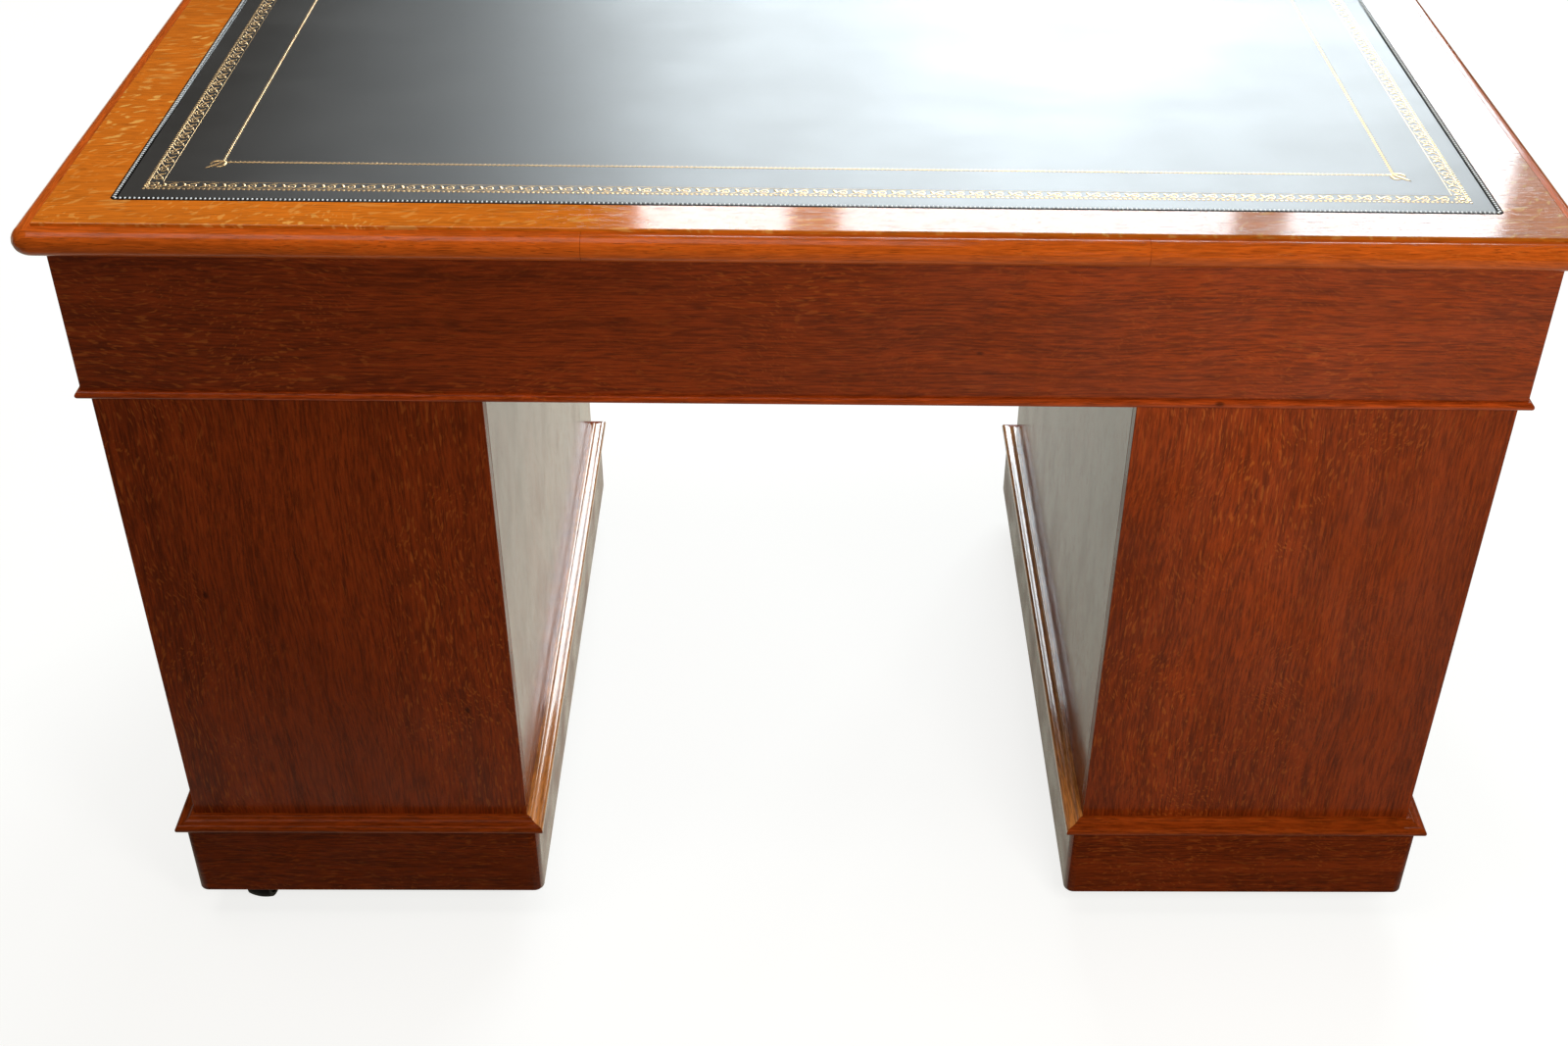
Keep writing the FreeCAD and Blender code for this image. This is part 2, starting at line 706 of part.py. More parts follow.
def castor_pieces():
    """One castor of each piece: plate with pintle, fork with axle, and wheel.
    The plate and the fork stand on the pivot's axis with the floor at zero, and the wheel trails
    along +X. The wheel's own piece is centred on its axle, which lies along Y."""
    plate_low = desk.castor_height - desk.plate_thick
    hub_top = plate_low - desk.swivel_gap
    hub_low = hub_top - desk.fork_hub_height
    head_top = hub_low - desk.swivel_gap
    plate = turned("castor_plate_piece", [
        (0, head_top - desk.pintle_head_thick),
        (desk.pintle_head_radius, head_top - desk.pintle_head_thick),
        (desk.pintle_head_radius, head_top),
        (desk.pintle_radius, head_top),
        (desk.pintle_radius, plate_low),
        (desk.plate_radius, plate_low),
        (desk.plate_radius, desk.castor_height),
        (0, desk.castor_height),
    ], "XZ_Plane")

    fork = doc.addObject("PartDesign::Body", "castor_fork_piece")
    boss = desk.fork_boss_radius
    arms = outline(fork, "fork_side_view", "XZ_Plane", [
        (desk.castor_trail - boss, desk.wheel_radius, boss, 1),
        (desk.castor_trail, desk.wheel_radius - boss, boss, 1),
        (desk.castor_trail + boss, desk.wheel_radius),
        (desk.fork_arm_half, hub_top),
        (-desk.fork_arm_half, hub_top),
    ])
    slot_half = desk.wheel_half_width + desk.wheel_boss + desk.fork_gap
    pad = fork.newObject("PartDesign::Pad", "fork_arms")
    pad.Profile = arms
    pad.SideType = "Symmetric"
    bind(pad, Length=2 * (slot_half + desk.fork_wall))
    slot = outline(fork, "fork_slot_view", "YZ_Plane", [
        (-slot_half, 0), (slot_half, 0), (slot_half, hub_low), (-slot_half, hub_low)])
    slot_cut = fork.newObject("PartDesign::Pocket", "fork_slot")
    slot_cut.Profile = slot
    slot_cut.Type = "ThroughAll"
    slot_cut.SideType = "Symmetric"
    hub = rod("fork_hub", desk.fork_hub_radius, desk.fork_hub_height, 0, 0, hub_low)
    past = desk.overrun
    bore = rod("fork_bore", desk.pintle_radius + desk.pintle_fit,
               desk.fork_hub_height + 2 * past, 0, 0, hub_low - past)
    axle_half = slot_half + desk.fork_wall
    axle_bore = rod("fork_axle_bore", desk.axle_radius + desk.axle_fit, 2 * (axle_half + past),
                    desk.castor_trail, -axle_half - past, desk.wheel_radius, ALONG_Y)
    shell = cut("fork_shell", fuse("fork_solid", [fork, hub]), [bore, axle_bore])
    axle = rod("fork_axle", desk.axle_radius, 2 * axle_half,
               desk.castor_trail, -axle_half, desk.wheel_radius, ALONG_Y)

    half = desk.wheel_half_width
    hub_half = half + desk.wheel_boss
    web_half = half - desk.wheel_dish
    shoulder = desk.wheel_radius - desk.wheel_crown
    rim = shoulder - desk.wheel_rim_depth
    tread_radius = (half * half + desk.wheel_crown * desk.wheel_crown) / (2 * desk.wheel_crown)
    bore_radius = desk.axle_radius + desk.axle_fit
    wheel = turned("castor_wheel_piece", [
        (bore_radius, -hub_half),
        (desk.wheel_hub_radius, -hub_half),
        (desk.wheel_hub_radius, -web_half),
        (rim, -web_half),
        (rim, -half),
        (shoulder, -half, tread_radius, 1),
        (shoulder, half),
        (rim, half),
        (rim, web_half),
        (desk.wheel_hub_radius, web_half),
        (desk.wheel_hub_radius, hub_half),
        (bore_radius, hub_half),
    ])
    return plate, group("castor_fork_with_axle", [shell, axle]), wheel


def castor_places():
    """Pivot of each castor, over the middle of its corner block."""
    inset = desk.plinth_thick - desk.plinth_step
    offset_x = desk.pedestal_width / 2 - inset - desk.castor_block_width / 2
    offset_y = half_depth - inset - desk.castor_block_depth / 2
    places = {}
    for hand, way in (("right", 1), ("left", -1)):
        for end, y in (("back", offset_y), ("front", -offset_y)):
            for edge, sign in (("outer", 1), ("inner", -1)):
                places[f"{hand}_{end}_{edge}"] = (way * (pedestal_middle + sign * offset_x), y)
    return places


def make_castors():
    """Eight swivel castors; their plates are one group because they are all fixed to the desk."""
    plate, fork, wheel = castor_pieces()
    plates = []
    for corner, (x, y) in castor_places().items():
        turn = CASTOR_TURNS[corner]
        plates.append(copy_of(f"plate_{corner}", plate, x, y, 0))
        node(f"castor_fork_{corner}", copy_of(f"fork_{corner}", fork, x, y, 0, turn))
        axle_x = x + math.cos(math.radians(turn)) * desk.castor_trail
        axle_y = y + math.sin(math.radians(turn)) * desk.castor_trail
        node(f"castor_wheel_{corner}",
             copy_of(f"wheel_{corner}", wheel, axle_x, axle_y, desk.wheel_radius, turn))
    node("castor_plates", group("castor_plate_group", plates))


# Drawers

def knob_piece():
    """A turned knob: domed head, rounded underside, hollow neck, base and a spigot that goes into
    the drawer front. Y = 0 is the drawer's face and the head stands on the -Y side."""
    cove = desk.knob_cove_radius
    neck = desk.knob_neck_radius
    head = neck + cove + desk.knob_under_radius
    base_y = -desk.knob_base_thick
    neck_low = base_y - cove
    neck_high = neck_low - desk.knob_neck_length
    under = neck_high - cove
    rim = under - desk.knob_under_radius
    apex = rim - desk.knob_dome
    dome_radius = (head * head + desk.knob_dome * desk.knob_dome) / (2 * desk.knob_dome)
    return turned("knob_piece", [
        (0, apex, dome_radius, 1),
        (head, rim, desk.knob_under_radius, 1),
        (neck + cove, under, cove, -1),
        (neck, neck_high),
        (neck, neck_low, cove, -1),
        (neck + cove, base_y),
        (neck + cove + desk.knob_lip, base_y),
        (neck + cove + desk.knob_lip, 0),
        (desk.spigot_radius, 0),
        (desk.spigot_radius, desk.spigot_length),
        (0, desk.spigot_length),
    ])


def dovetail_pins(name, low_x, width, levels, start_y, length, start_wide, end_wide):
    """Flaring bars right across a drawer that cut the gaps between the tails of both its sides."""
    pins = []
    for number, level in enumerate(levels, start=1):
        pin = doc.addObject("Part::Wedge", f"{name}_{number}")
        bind(pin, Xmin=0, Xmax=width, X2min=0, X2max=width, Ymin=0, Ymax=length,
             Zmin=-start_wide / 2, Zmax=start_wide / 2, Z2min=-end_wide / 2, Z2max=end_wide / 2)
        pins.append(place(pin, low_x, start_y, level))
    return pins


def make_drawer(name, low_x, opening, low_z, height, face_y, knob, knob_inset):
    """A drawer for one opening. The sides are dovetailed into the front behind a lap and through
    the back, and the bottom runs in grooves and under the back."""
    width = opening - 2 * desk.front_gap
    x = low_x + desk.front_gap
    z = low_z + desk.run_gap
    front_rise = height - desk.run_gap - desk.front_gap
    side_rise = front_rise - desk.side_drop
    lining = desk.lining_thick
    rear_y = face_y + drawer_length
    lap_y = face_y + desk.lap_thick
    inside_y = face_y + desk.front_thick

    bottom_z = z + desk.bottom_rise
    let_in = lining - desk.groove_depth
    groove_y = inside_y - desk.groove_depth
    bottom = board(f"{name}_bottom", (x + let_in, groove_y, bottom_z),
                   (width - 2 * let_in, rear_y - groove_y, desk.bottom_thick))
    back_z = bottom_z + desk.bottom_thick
    back_rise = side_rise - desk.bottom_rise - desk.bottom_thick - desk.back_drop

    tails = max(round(side_rise.value / desk.tail_pitch.value), 2)
    front_levels = [z + side_rise * number / tails for number in range(tails + 1)]
    back_tails = max(tails - 1, 1)
    back_levels = [
        back_z + back_rise * (2 * number + 1) / (2 * back_tails)
        for number in range(back_tails)
    ]
    pins = dovetail_pins(f"{name}_front_pin", x, width, front_levels, lap_y,
                         desk.front_thick - desk.lap_thick, desk.pin_narrow, desk.pin_wide)
    pins += dovetail_pins(f"{name}_back_pin", x, width, back_levels, rear_y - lining,
                          lining, desk.pin_wide, desk.pin_narrow)
    sides = []
    for edge, start in (("left", x), ("right", x + width - lining)):
        blank = board(f"{name}_{edge}_side_board", (start, lap_y, z),
                      (lining, drawer_length - desk.lap_thick, side_rise))
        sides.append(cut(f"{name}_{edge}_side", blank, pins + [bottom]))
    back_blank = board(f"{name}_back_board", (x, rear_y - lining, back_z),
                       (width, lining, back_rise))
    back = cut(f"{name}_back", back_blank, sides)
    node(f"{name}_box", group(f"{name}_lining", sides + [back, bottom]))

    middle_z = z + front_rise / 2
    knob_places = [x + knob_inset, x + width - knob_inset]
    hole_y = face_y - desk.overrun
    hole_length = desk.front_thick + 2 * desk.overrun
    holes = [
        rod(f"{name}_knob_hole_{number}", desk.spigot_radius + desk.spigot_fit, hole_length,
            knob_x, hole_y, middle_z, ALONG_Y)
        for number, knob_x in enumerate(knob_places, start=1)
    ]
    middle_x = x + width / 2
    key_z = z + front_rise - desk.keyhole_drop
    eye = rod(f"{name}_key_eye", desk.keyhole_radius, hole_length, middle_x, hole_y, key_z, ALONG_Y)
    slot_x = middle_x - desk.keyhole_slot_width / 2
    slot = board(f"{name}_key_slot", (slot_x, hole_y, key_z - desk.keyhole_slot_drop),
                 (desk.keyhole_slot_width, hole_length, desk.keyhole_slot_drop))
    keyhole = fuse(f"{name}_keyhole", [eye, slot])
    blank = board(f"{name}_front_board", (x, face_y, z), (width, desk.front_thick, front_rise))
    node(f"{name}_front", cut(f"{name}_front_cut", blank, sides + [bottom, keyhole] + holes))
    knobs = [
        copy_of(f"{name}_knob_{number}", knob, knob_x, face_y, middle_z)
        for number, knob_x in enumerate(knob_places, start=1)
    ]
    node(f"{name}_knobs", group(f"{name}_knob_pair", knobs))


def make_drawers():
    """Three drawers under the top and three graduated drawers in each pedestal."""
    knob = knob_piece()
    level = case_top + desk.frieze_rail_thick
    height = desk.frieze_height - desk.frieze_rail_thick - desk.frieze_top_rail_thick
    make_drawer("centre_frieze_drawer", -inner_face, desk.kneehole_width, level, height,
                -frieze_half_y, knob, desk.centre_knob_inset)
    start = inner_face + desk.partition_thick
    opening = frieze_half_x - desk.frieze_wall - start
    for hand in ("left", "right"):
        make_drawer(f"{hand}_frieze_drawer", at_side(hand, start, opening), opening, level, height,
                    -frieze_half_y, knob, desk.knob_inset)
        for name, (low, rise) in drawer_levels().items():
            low_x = at_side(hand, inner_face + desk.side_thick, case_inside)
            make_drawer(f"{hand}_{name}_drawer", low_x, case_inside, low, rise,
                        -half_depth, knob, desk.knob_inset)


def check_document():
    """Stop if any object failed or any sub-part has no valid shape."""
    for thing in doc.Objects:
        if "Invalid" in thing.State or "Error" in thing.State:
            raise RuntimeError(f"{thing.Name} failed: {thing.State}")
    shapes = {}
    for label, thing in nodes.items():
        shape = Part.getShape(thing)
        if shape.isNull() or not shape.isValid() or not shape.Solids:
            raise RuntimeError(f"{label} has no valid shape")
        shapes[label] = shape
    return shapes


make_top()
make_frieze()
make_pedestals()
make_runners()
make_plinths()
make_castors()
make_drawers()
doc.recompute()
os.makedirs("parts", exist_ok=True)
for label, shape in check_document().items():
    shape.exportStep(f"parts/{label}.step")
print(len(nodes), "sub-parts")
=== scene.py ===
"""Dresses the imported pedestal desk: oak finishes, gilt-tooled leather, keyhole rims and the stage.

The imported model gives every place. Lengths are in metres, +Z is up, the plain back faces +Y and
the drawers face -Y.
"""

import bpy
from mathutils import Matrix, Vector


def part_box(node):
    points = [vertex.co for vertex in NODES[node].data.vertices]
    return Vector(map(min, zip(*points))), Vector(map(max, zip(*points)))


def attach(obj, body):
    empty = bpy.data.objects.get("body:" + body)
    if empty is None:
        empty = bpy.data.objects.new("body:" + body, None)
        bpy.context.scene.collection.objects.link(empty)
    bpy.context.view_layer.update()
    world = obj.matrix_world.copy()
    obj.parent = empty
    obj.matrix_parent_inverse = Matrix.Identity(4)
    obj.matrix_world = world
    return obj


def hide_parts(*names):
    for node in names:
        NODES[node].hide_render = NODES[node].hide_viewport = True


bl_info = {
    "name": "Pedestal Desk Dresser",
    "version": (1, 0, 0),
    "blender": (4, 5, 0),
    "location": "3D View > Sidebar > Desk",
    "description": "Finishes and fine pieces for a pedestal desk with a leather top",
    "category": "Object",
}

import math
from functools import partial

import bmesh
import bpy
import numpy as np

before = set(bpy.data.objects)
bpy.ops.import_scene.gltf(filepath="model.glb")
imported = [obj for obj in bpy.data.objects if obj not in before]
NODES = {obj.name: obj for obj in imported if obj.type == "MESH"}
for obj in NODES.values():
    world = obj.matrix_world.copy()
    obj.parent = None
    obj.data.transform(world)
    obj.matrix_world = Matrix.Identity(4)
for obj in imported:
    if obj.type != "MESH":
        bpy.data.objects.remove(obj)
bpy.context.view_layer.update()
DRAWERS = [name[: -len("_front")] for name in NODES if name.endswith("_front")]
LEATHER_LOW, LEATHER_HIGH = (np.array(corner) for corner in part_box("leather_inset"))
BOARD_HIGH = np.array(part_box("top_board")[1])


# Settings that a user would change

def length(name, default, description):
    """A length setting in metres."""
    return bpy.props.FloatProperty(name=name, default=default, min=0, precision=5,
                                   subtype="DISTANCE", unit="LENGTH", description=description)


def colour(name, default, description):
    """A colour setting in linear red, green and blue."""
    return bpy.props.FloatVectorProperty(name=name, default=default, size=3, min=0, max=1,
                                         subtype="COLOR", description=description)


def amount(name, default, description):
    """A plain number setting."""
    return bpy.props.FloatProperty(name=name, default=default, description=description)


class DeskFinish(bpy.types.PropertyGroup):
    """Colours of the desk's materials."""
    top_ground: colour("Top ground", (0.80, 0.20, 0.012), "Oak of the border round the leather")
    top_fleck: colour("Top fleck", (1.0, 0.55, 0.13), "Ray flecks in the border")
    edge_ground: colour("Edge ground", (0.80, 0.14, 0.012), "Oak of the rounded edge")
    edge_fleck: colour("Edge fleck", (0.80, 0.22, 0.03), "Ray flecks in the rounded edge")
    case_ground: colour("Case ground", (0.36, 0.050, 0.006),
                        "Oak of the frieze, pedestals and fronts")
    case_fleck: colour("Case fleck", (0.54, 0.125, 0.018), "Ray flecks in the case")
    # The ogee ground is painted bright as if lit on the strips beside the kneehole; the other strips
    # take it darker as painted shade.
    ogee_ground: colour("Ogee ground", (0.80, 0.28, 0.06),
                        "Oak of the plinth mouldings beside the kneehole")
    lining_ground: colour("Lining ground", (0.47, 0.25, 0.10), "Bare oak of the drawer linings")
    lining_fleck: colour("Lining fleck", (0.60, 0.38, 0.19), "Ray flecks in the drawer linings")
    carcass_ground: colour("Carcass ground", (0.33, 0.19, 0.085), "Sawn timber inside the case")
    carcass_fleck: colour("Carcass fleck", (0.42, 0.27, 0.14), "Pale streaks in the sawn timber")
    leather: colour("Leather", (0.008, 0.0064, 0.0048), "Dyed hide of the writing surface")
    gilt: colour("Gilt", (0.92, 0.56, 0.16), "Gold leaf of the tooling")
    brass: colour("Brass", (0.70, 0.47, 0.17), "Keyhole rims")
    iron: colour("Iron", (0.022, 0.020, 0.019), "Castor forks, plates and wheels")


class DeskTooling(bpy.types.PropertyGroup):
    """Sizes of the tooling on the leather and of the fine pieces on the case."""
    band_inset: length("Band inset", 0.018,
                       "From the leather's edge to the outer side of the gilt band")
    band_width: length("Band width", 0.0145, "Width of the gilt band")
    scroll_pitch: length("Scroll pitch", 0.0165, "Length of one scroll along the band")
    line_inset: length("Line inset", 0.072,
                       "From the leather's edge to the middle of the inner rope line")
    line_width: length("Line width", 0.0036, "Width of the inner rope line")
    strand_pitch: length("Strand pitch", 0.0040, "Length of one strand of the rope line")
    leaf_reach: length("Leaf reach", 0.020,
                       "How far a corner leaf reaches out along the diagonal")
    tick_pitch: length("Tick pitch", 0.00383,
                       "Distance between the marks along the leather's edge")
    gilt_rise: length("Gilt rise", 0.00012, "Height of the gilt above the leather")
    arris: length("Arris", 0.0009, "Width of the eased arrises")
    facing: length("Facing", 0.004, "Depth of the polished facing on front edges inside the case")
    rim_width: length("Rim width", 0.0012, "Width of the keyhole rims")


class DeskStage(bpy.types.PropertyGroup):
    """Camera, lights and floor."""
    lens: amount("Lens", 43.5527, "Focal length in millimetres on a 36 mm wide sensor")
    eye: bpy.props.FloatVectorProperty(name="Eye", default=(0.0154, 1.7693, 1.4919), subtype="XYZ",
                                       unit="LENGTH", description="Place of the camera")
    turn: bpy.props.FloatVectorProperty(
        name="Turn", default=tuple(math.radians(a) for a in (53.4834, -1.0887, 179.1344)),
        subtype="EULER", unit="ROTATION", description="Turn of the camera")
    shift: bpy.props.FloatVectorProperty(name="Shift", default=(-0.03353, 0.02652), size=2,
                                         description="Shift of the frame, in frame widths")
    window_strength: amount("Window", 10.4, "Brightness of the window panes behind the desk")
    haze_strength: amount("Haze", 1.45, "Brightness of the wide dim window behind the panes")
    fill_strength: amount("Fill", 12.4, "Brightness of the soft fill in front of the back")
    lid_strength: amount("Overhead", 3.3, "Brightness of the soft light over the desk")
    sky_strength: amount("Sky", 0.06, "Brightness of the surroundings")
    floor_colour: colour("Floor", (0.92, 0.92, 0.905), "Pale floor")
    # The floor's glow that the polish mirrors is a painted reflection, warmer than the floor shows.
    floor_mirrored: colour("Floor mirrored", (0.865, 0.845, 0.67),
                           "Pale floor as the polish mirrors it")


# Meshes from arrays

MERGE_REACH = 1e-7


def grid_faces(rows, columns, around_rows=False, around_columns=False):
    """Quads of a grid of points numbered row by row. A direction that runs around joins its last
    line to its first."""
    i = np.arange(rows if around_rows else rows - 1)[:, None]
    j = np.arange(columns if around_columns else columns - 1)[None, :]
    below = (i + 1) % rows
    right = (j + 1) % columns
    quads = np.stack([i * columns + j, i * columns + right,
                      below * columns + right, below * columns + j], -1)
    return quads.reshape(-1, 4)


def copies_of(faces, points_each, count):
    """The same faces for many copies of a shape whose points follow one another."""
    starts = np.arange(count)[:, None, None] * points_each
    return (starts + faces[None]).reshape(-1, faces.shape[1])


def add_piece(name, points, faces, material, body, smooth=True, merge=None):
    """A finished piece: its mesh from points and faces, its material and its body."""
    mesh = bpy.data.meshes.new(name)
    corners = np.asarray(points).reshape(-1, 3).tolist()
    mesh.from_pydata(corners, [], [list(map(int, face)) for face in faces])
    if merge:
        work = bmesh.new()
        work.from_mesh(mesh)
        bmesh.ops.remove_doubles(work, verts=work.verts, dist=merge)
        bmesh.ops.recalc_face_normals(work, faces=work.faces)
        work.to_mesh(mesh)
        work.free()
    mesh.polygons.foreach_set("use_smooth", np.full(len(mesh.polygons), smooth))
    mesh.materials.append(material)
    mesh.validate()
    piece = bpy.data.objects.new(name, mesh)
    bpy.context.scene.collection.objects.link(piece)
    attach(piece, body)
    return piece


def ribbons(paths, widths, rise, level, closed=False):
    """Raised strips along flat paths. At each path point the section is a lozenge: half the width
    to the left, the rise upwards, half the width to the right and the rise downwards. Paths are an
    array of strips x points x 2, and the widths are one for each point."""
    paths = np.asarray(paths, float)
    count, steps = paths.shape[:2]
    if closed:
        ahead = np.roll(paths, -1, axis=1) - np.roll(paths, 1, axis=1)
    else:
        ahead = np.gradient(paths, axis=1)
    ahead /= np.linalg.norm(ahead, axis=2, keepdims=True)
    left = np.stack([-ahead[..., 1], ahead[..., 0]], -1)
    half = (np.asarray(widths) / 2)[None, :, None]
    ring = np.zeros((count, steps, 4, 3))
    ring[:, :, 0, :2] = paths + left * half
    ring[:, :, 1, :2] = paths
    ring[:, :, 2, :2] = paths - left * half
    ring[:, :, 3, :2] = paths
    ring[..., 2] = level
    ring[:, :, 1, 2] += rise
    ring[:, :, 3, 2] -= rise
    faces = grid_faces(steps, 4, around_rows=closed, around_columns=True)
    if not closed:
        last = 4 * (steps - 1)
        caps = np.array([[3, 2, 1, 0], [last, last + 1, last + 2, last + 3]])
        faces = np.concatenate([faces, caps])
    return ring.reshape(-1, 3), copies_of(faces, steps * 4, count)


def domes(centres, radius_along, radius_across, heading, rise, level, sides=8):
    """Small round bosses: circles of points at four heights whose radius is the cosine of their
    latitude and whose height is its sine, stretched along a heading."""
    latitude = np.radians([-90, 0, 45, 90])
    turn = np.linspace(0, 2 * np.pi, sides, endpoint=False)
    ring = np.cos(latitude)[:, None]
    along = ring * np.cos(turn) * radius_along
    across = ring * np.sin(turn) * radius_across
    height = np.broadcast_to((np.sin(latitude) * rise)[:, None], along.shape)
    heading = np.asarray(heading)[:, None, None, :]
    aside = np.stack([-heading[..., 1], heading[..., 0]], -1)
    points = np.zeros((len(centres), *along.shape, 3))
    middles = np.asarray(centres)[:, None, None, :]
    points[..., :2] = middles + along[..., None] * heading + across[..., None] * aside
    points[..., 2] = level + height
    faces = grid_faces(len(latitude), sides, around_columns=True)
    return points.reshape(-1, 3), copies_of(faces, along.size, len(centres))


def joined(*shapes):
    """Several shapes of points and four-cornered faces as one."""
    points = []
    faces = []
    start = 0
    for shape_points, shape_faces in shapes:
        points.append(shape_points)
        faces.append(np.asarray(shape_faces) + start)
        start += len(shape_points)
    return np.concatenate(points), np.concatenate(faces)


# Places round the leather

def sides_of(inset):
    """The four sides of the rectangle that lies inset from the leather's edge, as start corner,
    direction, inward direction and length, anticlockwise."""
    low = LEATHER_LOW[:2] + inset
    high = LEATHER_HIGH[:2] - inset
    corners = np.array([low, (high[0], low[1]), high, (low[0], high[1])])
    for start, finish in zip(corners, np.roll(corners, -1, axis=0)):
        span = np.linalg.norm(finish - start)
        ahead = (finish - start) / span
        yield start, ahead, np.array([-ahead[1], ahead[0]]), span


def repeat_along(motif, inset, pitch, margin):
    """A motif of strips x points x 2, drawn as share of its pitch along and metres inwards, set
    side by side along each side of a rectangle, leaving a margin at both corners."""
    laid = []
    for start, ahead, inward, span in sides_of(inset):
        room = span - 2 * margin
        count = max(round(room / pitch), 1)
        along = margin + (np.arange(count)[:, None, None] + motif[None, ..., 0]) * room / count
        flat = start + along[..., None] * ahead + motif[None, ..., 1, None] * inward
        laid.append(flat.reshape(-1, motif.shape[1], 2))
    return np.concatenate(laid)


def spaced_along(inset, pitch, offset):
    """Places a pitch apart along each side of a rectangle, the first an offset in pitches from its
    corner, and the direction of the side at each place."""
    places = []
    headings = []
    for start, ahead, _, span in sides_of(inset):
        count = round(span / pitch)
        places.append(start + (np.arange(count)[:, None] + offset) / count * span * ahead)
        headings.append(np.broadcast_to(ahead, (count, 2)))
    return np.concatenate(places), np.concatenate(headings)


def closed_line(inset, width, rise, level):
    """A strip of even width all round the leather."""
    corners = np.array([start for start, *_ in sides_of(inset)])
    # Points close to each corner keep the section square through the turn.
    near = 0.0004
    path = []
    befores = np.roll(corners, 1, axis=0)
    afters = np.roll(corners, -1, axis=0)
    for before, corner, after in zip(befores, corners, afters):
        for neighbour in (before, after):
            way = (neighbour - corner) / np.linalg.norm(neighbour - corner)
            path.append(corner + way * near)
    return ribbons(np.array(path)[None], np.full(len(path), width), rise, level, closed=True)


# Materials

# The oak's figure. A scale is how many features lie in a metre along the grain and twice across
# it. A span is where a value starts and stops to count and then what these two ends become.
SWAY_SCALE = (3.0, 5.0, 5.0)
SWAY_REACH = 0.035
STREAK_SCALE = (1.6, 48.0, 48.0)
FIBRE_SCALE = (36.0, 480.0, 480.0)
PORE_SCALE = (40.0, 1150.0, 1150.0)
PORE_SPAN = (0.60, 0.70)
TWIST_SCALE = (9.0, 9.0, 9.0)
RAY_SPAN = (0.565, 0.68)
DRIFT_SCALE = (3.5, 7.0, 7.0)
DRIFT_SPAN = (0.36, 0.64, 0.25, 1.0)
CLOUD_SCALE = (2.2, 6.0, 6.0)
CLOUD_SPAN = (0.35, 0.7)
TONE_SPAN = (0.34, 0.64)
KNOT_STRETCH = (0.55, 1.0, 1.0)
KNOT_SCALE = 26.0
KNOT_SPAN = (0.03, 0.085, 1.0, 0.0)
KNOT_RARITY = 0.90
SMEAR_SCALE = (14.0, 22.0, 22.0)
SMEAR_SPAN = (0.3, 0.75)
# The span along X over which the painted shade towards -X fades out.
END_SHADE_SPAN = (-0.35, 0.25)
# How much of the tone each of these gives, and how much a dark mark covers.
STREAK_SHARE, FIBRE_SHARE = 0.38, 0.62
CLOUD_COVER, PORE_COVER, KNOT_COVER = 0.30, 0.6, 0.75
# How much darker the dark streaks are, and what share of the ground colour other marks keep.
STREAK_FALL = 0.62
CLOUD_TONE, PORE_TONE, KNOT_TONE, FACING_TONE = 0.25, 0.22, 0.08, 0.4
# The polish: its range of roughness as shares, its coat and facing, and the relief of the wood.
POLISH_RANGE = (0.8, 1.5)
COAT_ROUGHNESS = 0.07
FACING_ROUGHNESS = 0.16
OAK_IOR = 1.36
FIBRE_RELIEF = 0.35
OAK_RELIEF = {"depth": 0.00012, "strength": 0.35}

# The hide, whose gloss the wax on the gilding shares.
PEBBLE_SCALE = 1100.0
CREASE_SCALE = 240.0
SCUFF_SCALE = (7.0, 11.0, 7.0)
SCUFF_TINT = (0.35, 0.7)
SCUFF_TONES = (0.8, 1.35)
HIDE_ROUGHNESS = (0.3, 0.75, 0.45, 0.485)
KEEN_END = (0.40, 0.60, 0.0, 0.10)
HIDE_IOR = 2.15
PEBBLE_RELIEF, CREASE_RELIEF = 0.6, 0.4
HIDE_RELIEF = {"depth": 0.00012, "strength": 0.30}

# The metals
PATCH_TINT = (0.42, 0.68)
PATCH_SPAN = (0.3, 0.7)
PATCH_RANGE = (0.8, 1.25)
SPECKS_PER_PATCH = 14
WAX_ROUGHNESS = 0.46
METAL_RELIEF = {"depth": 0.00008, "strength": 0.4}

# The eased arrises
WELD_REACH = 1e-5
ARRIS_ANGLE = math.radians(40)


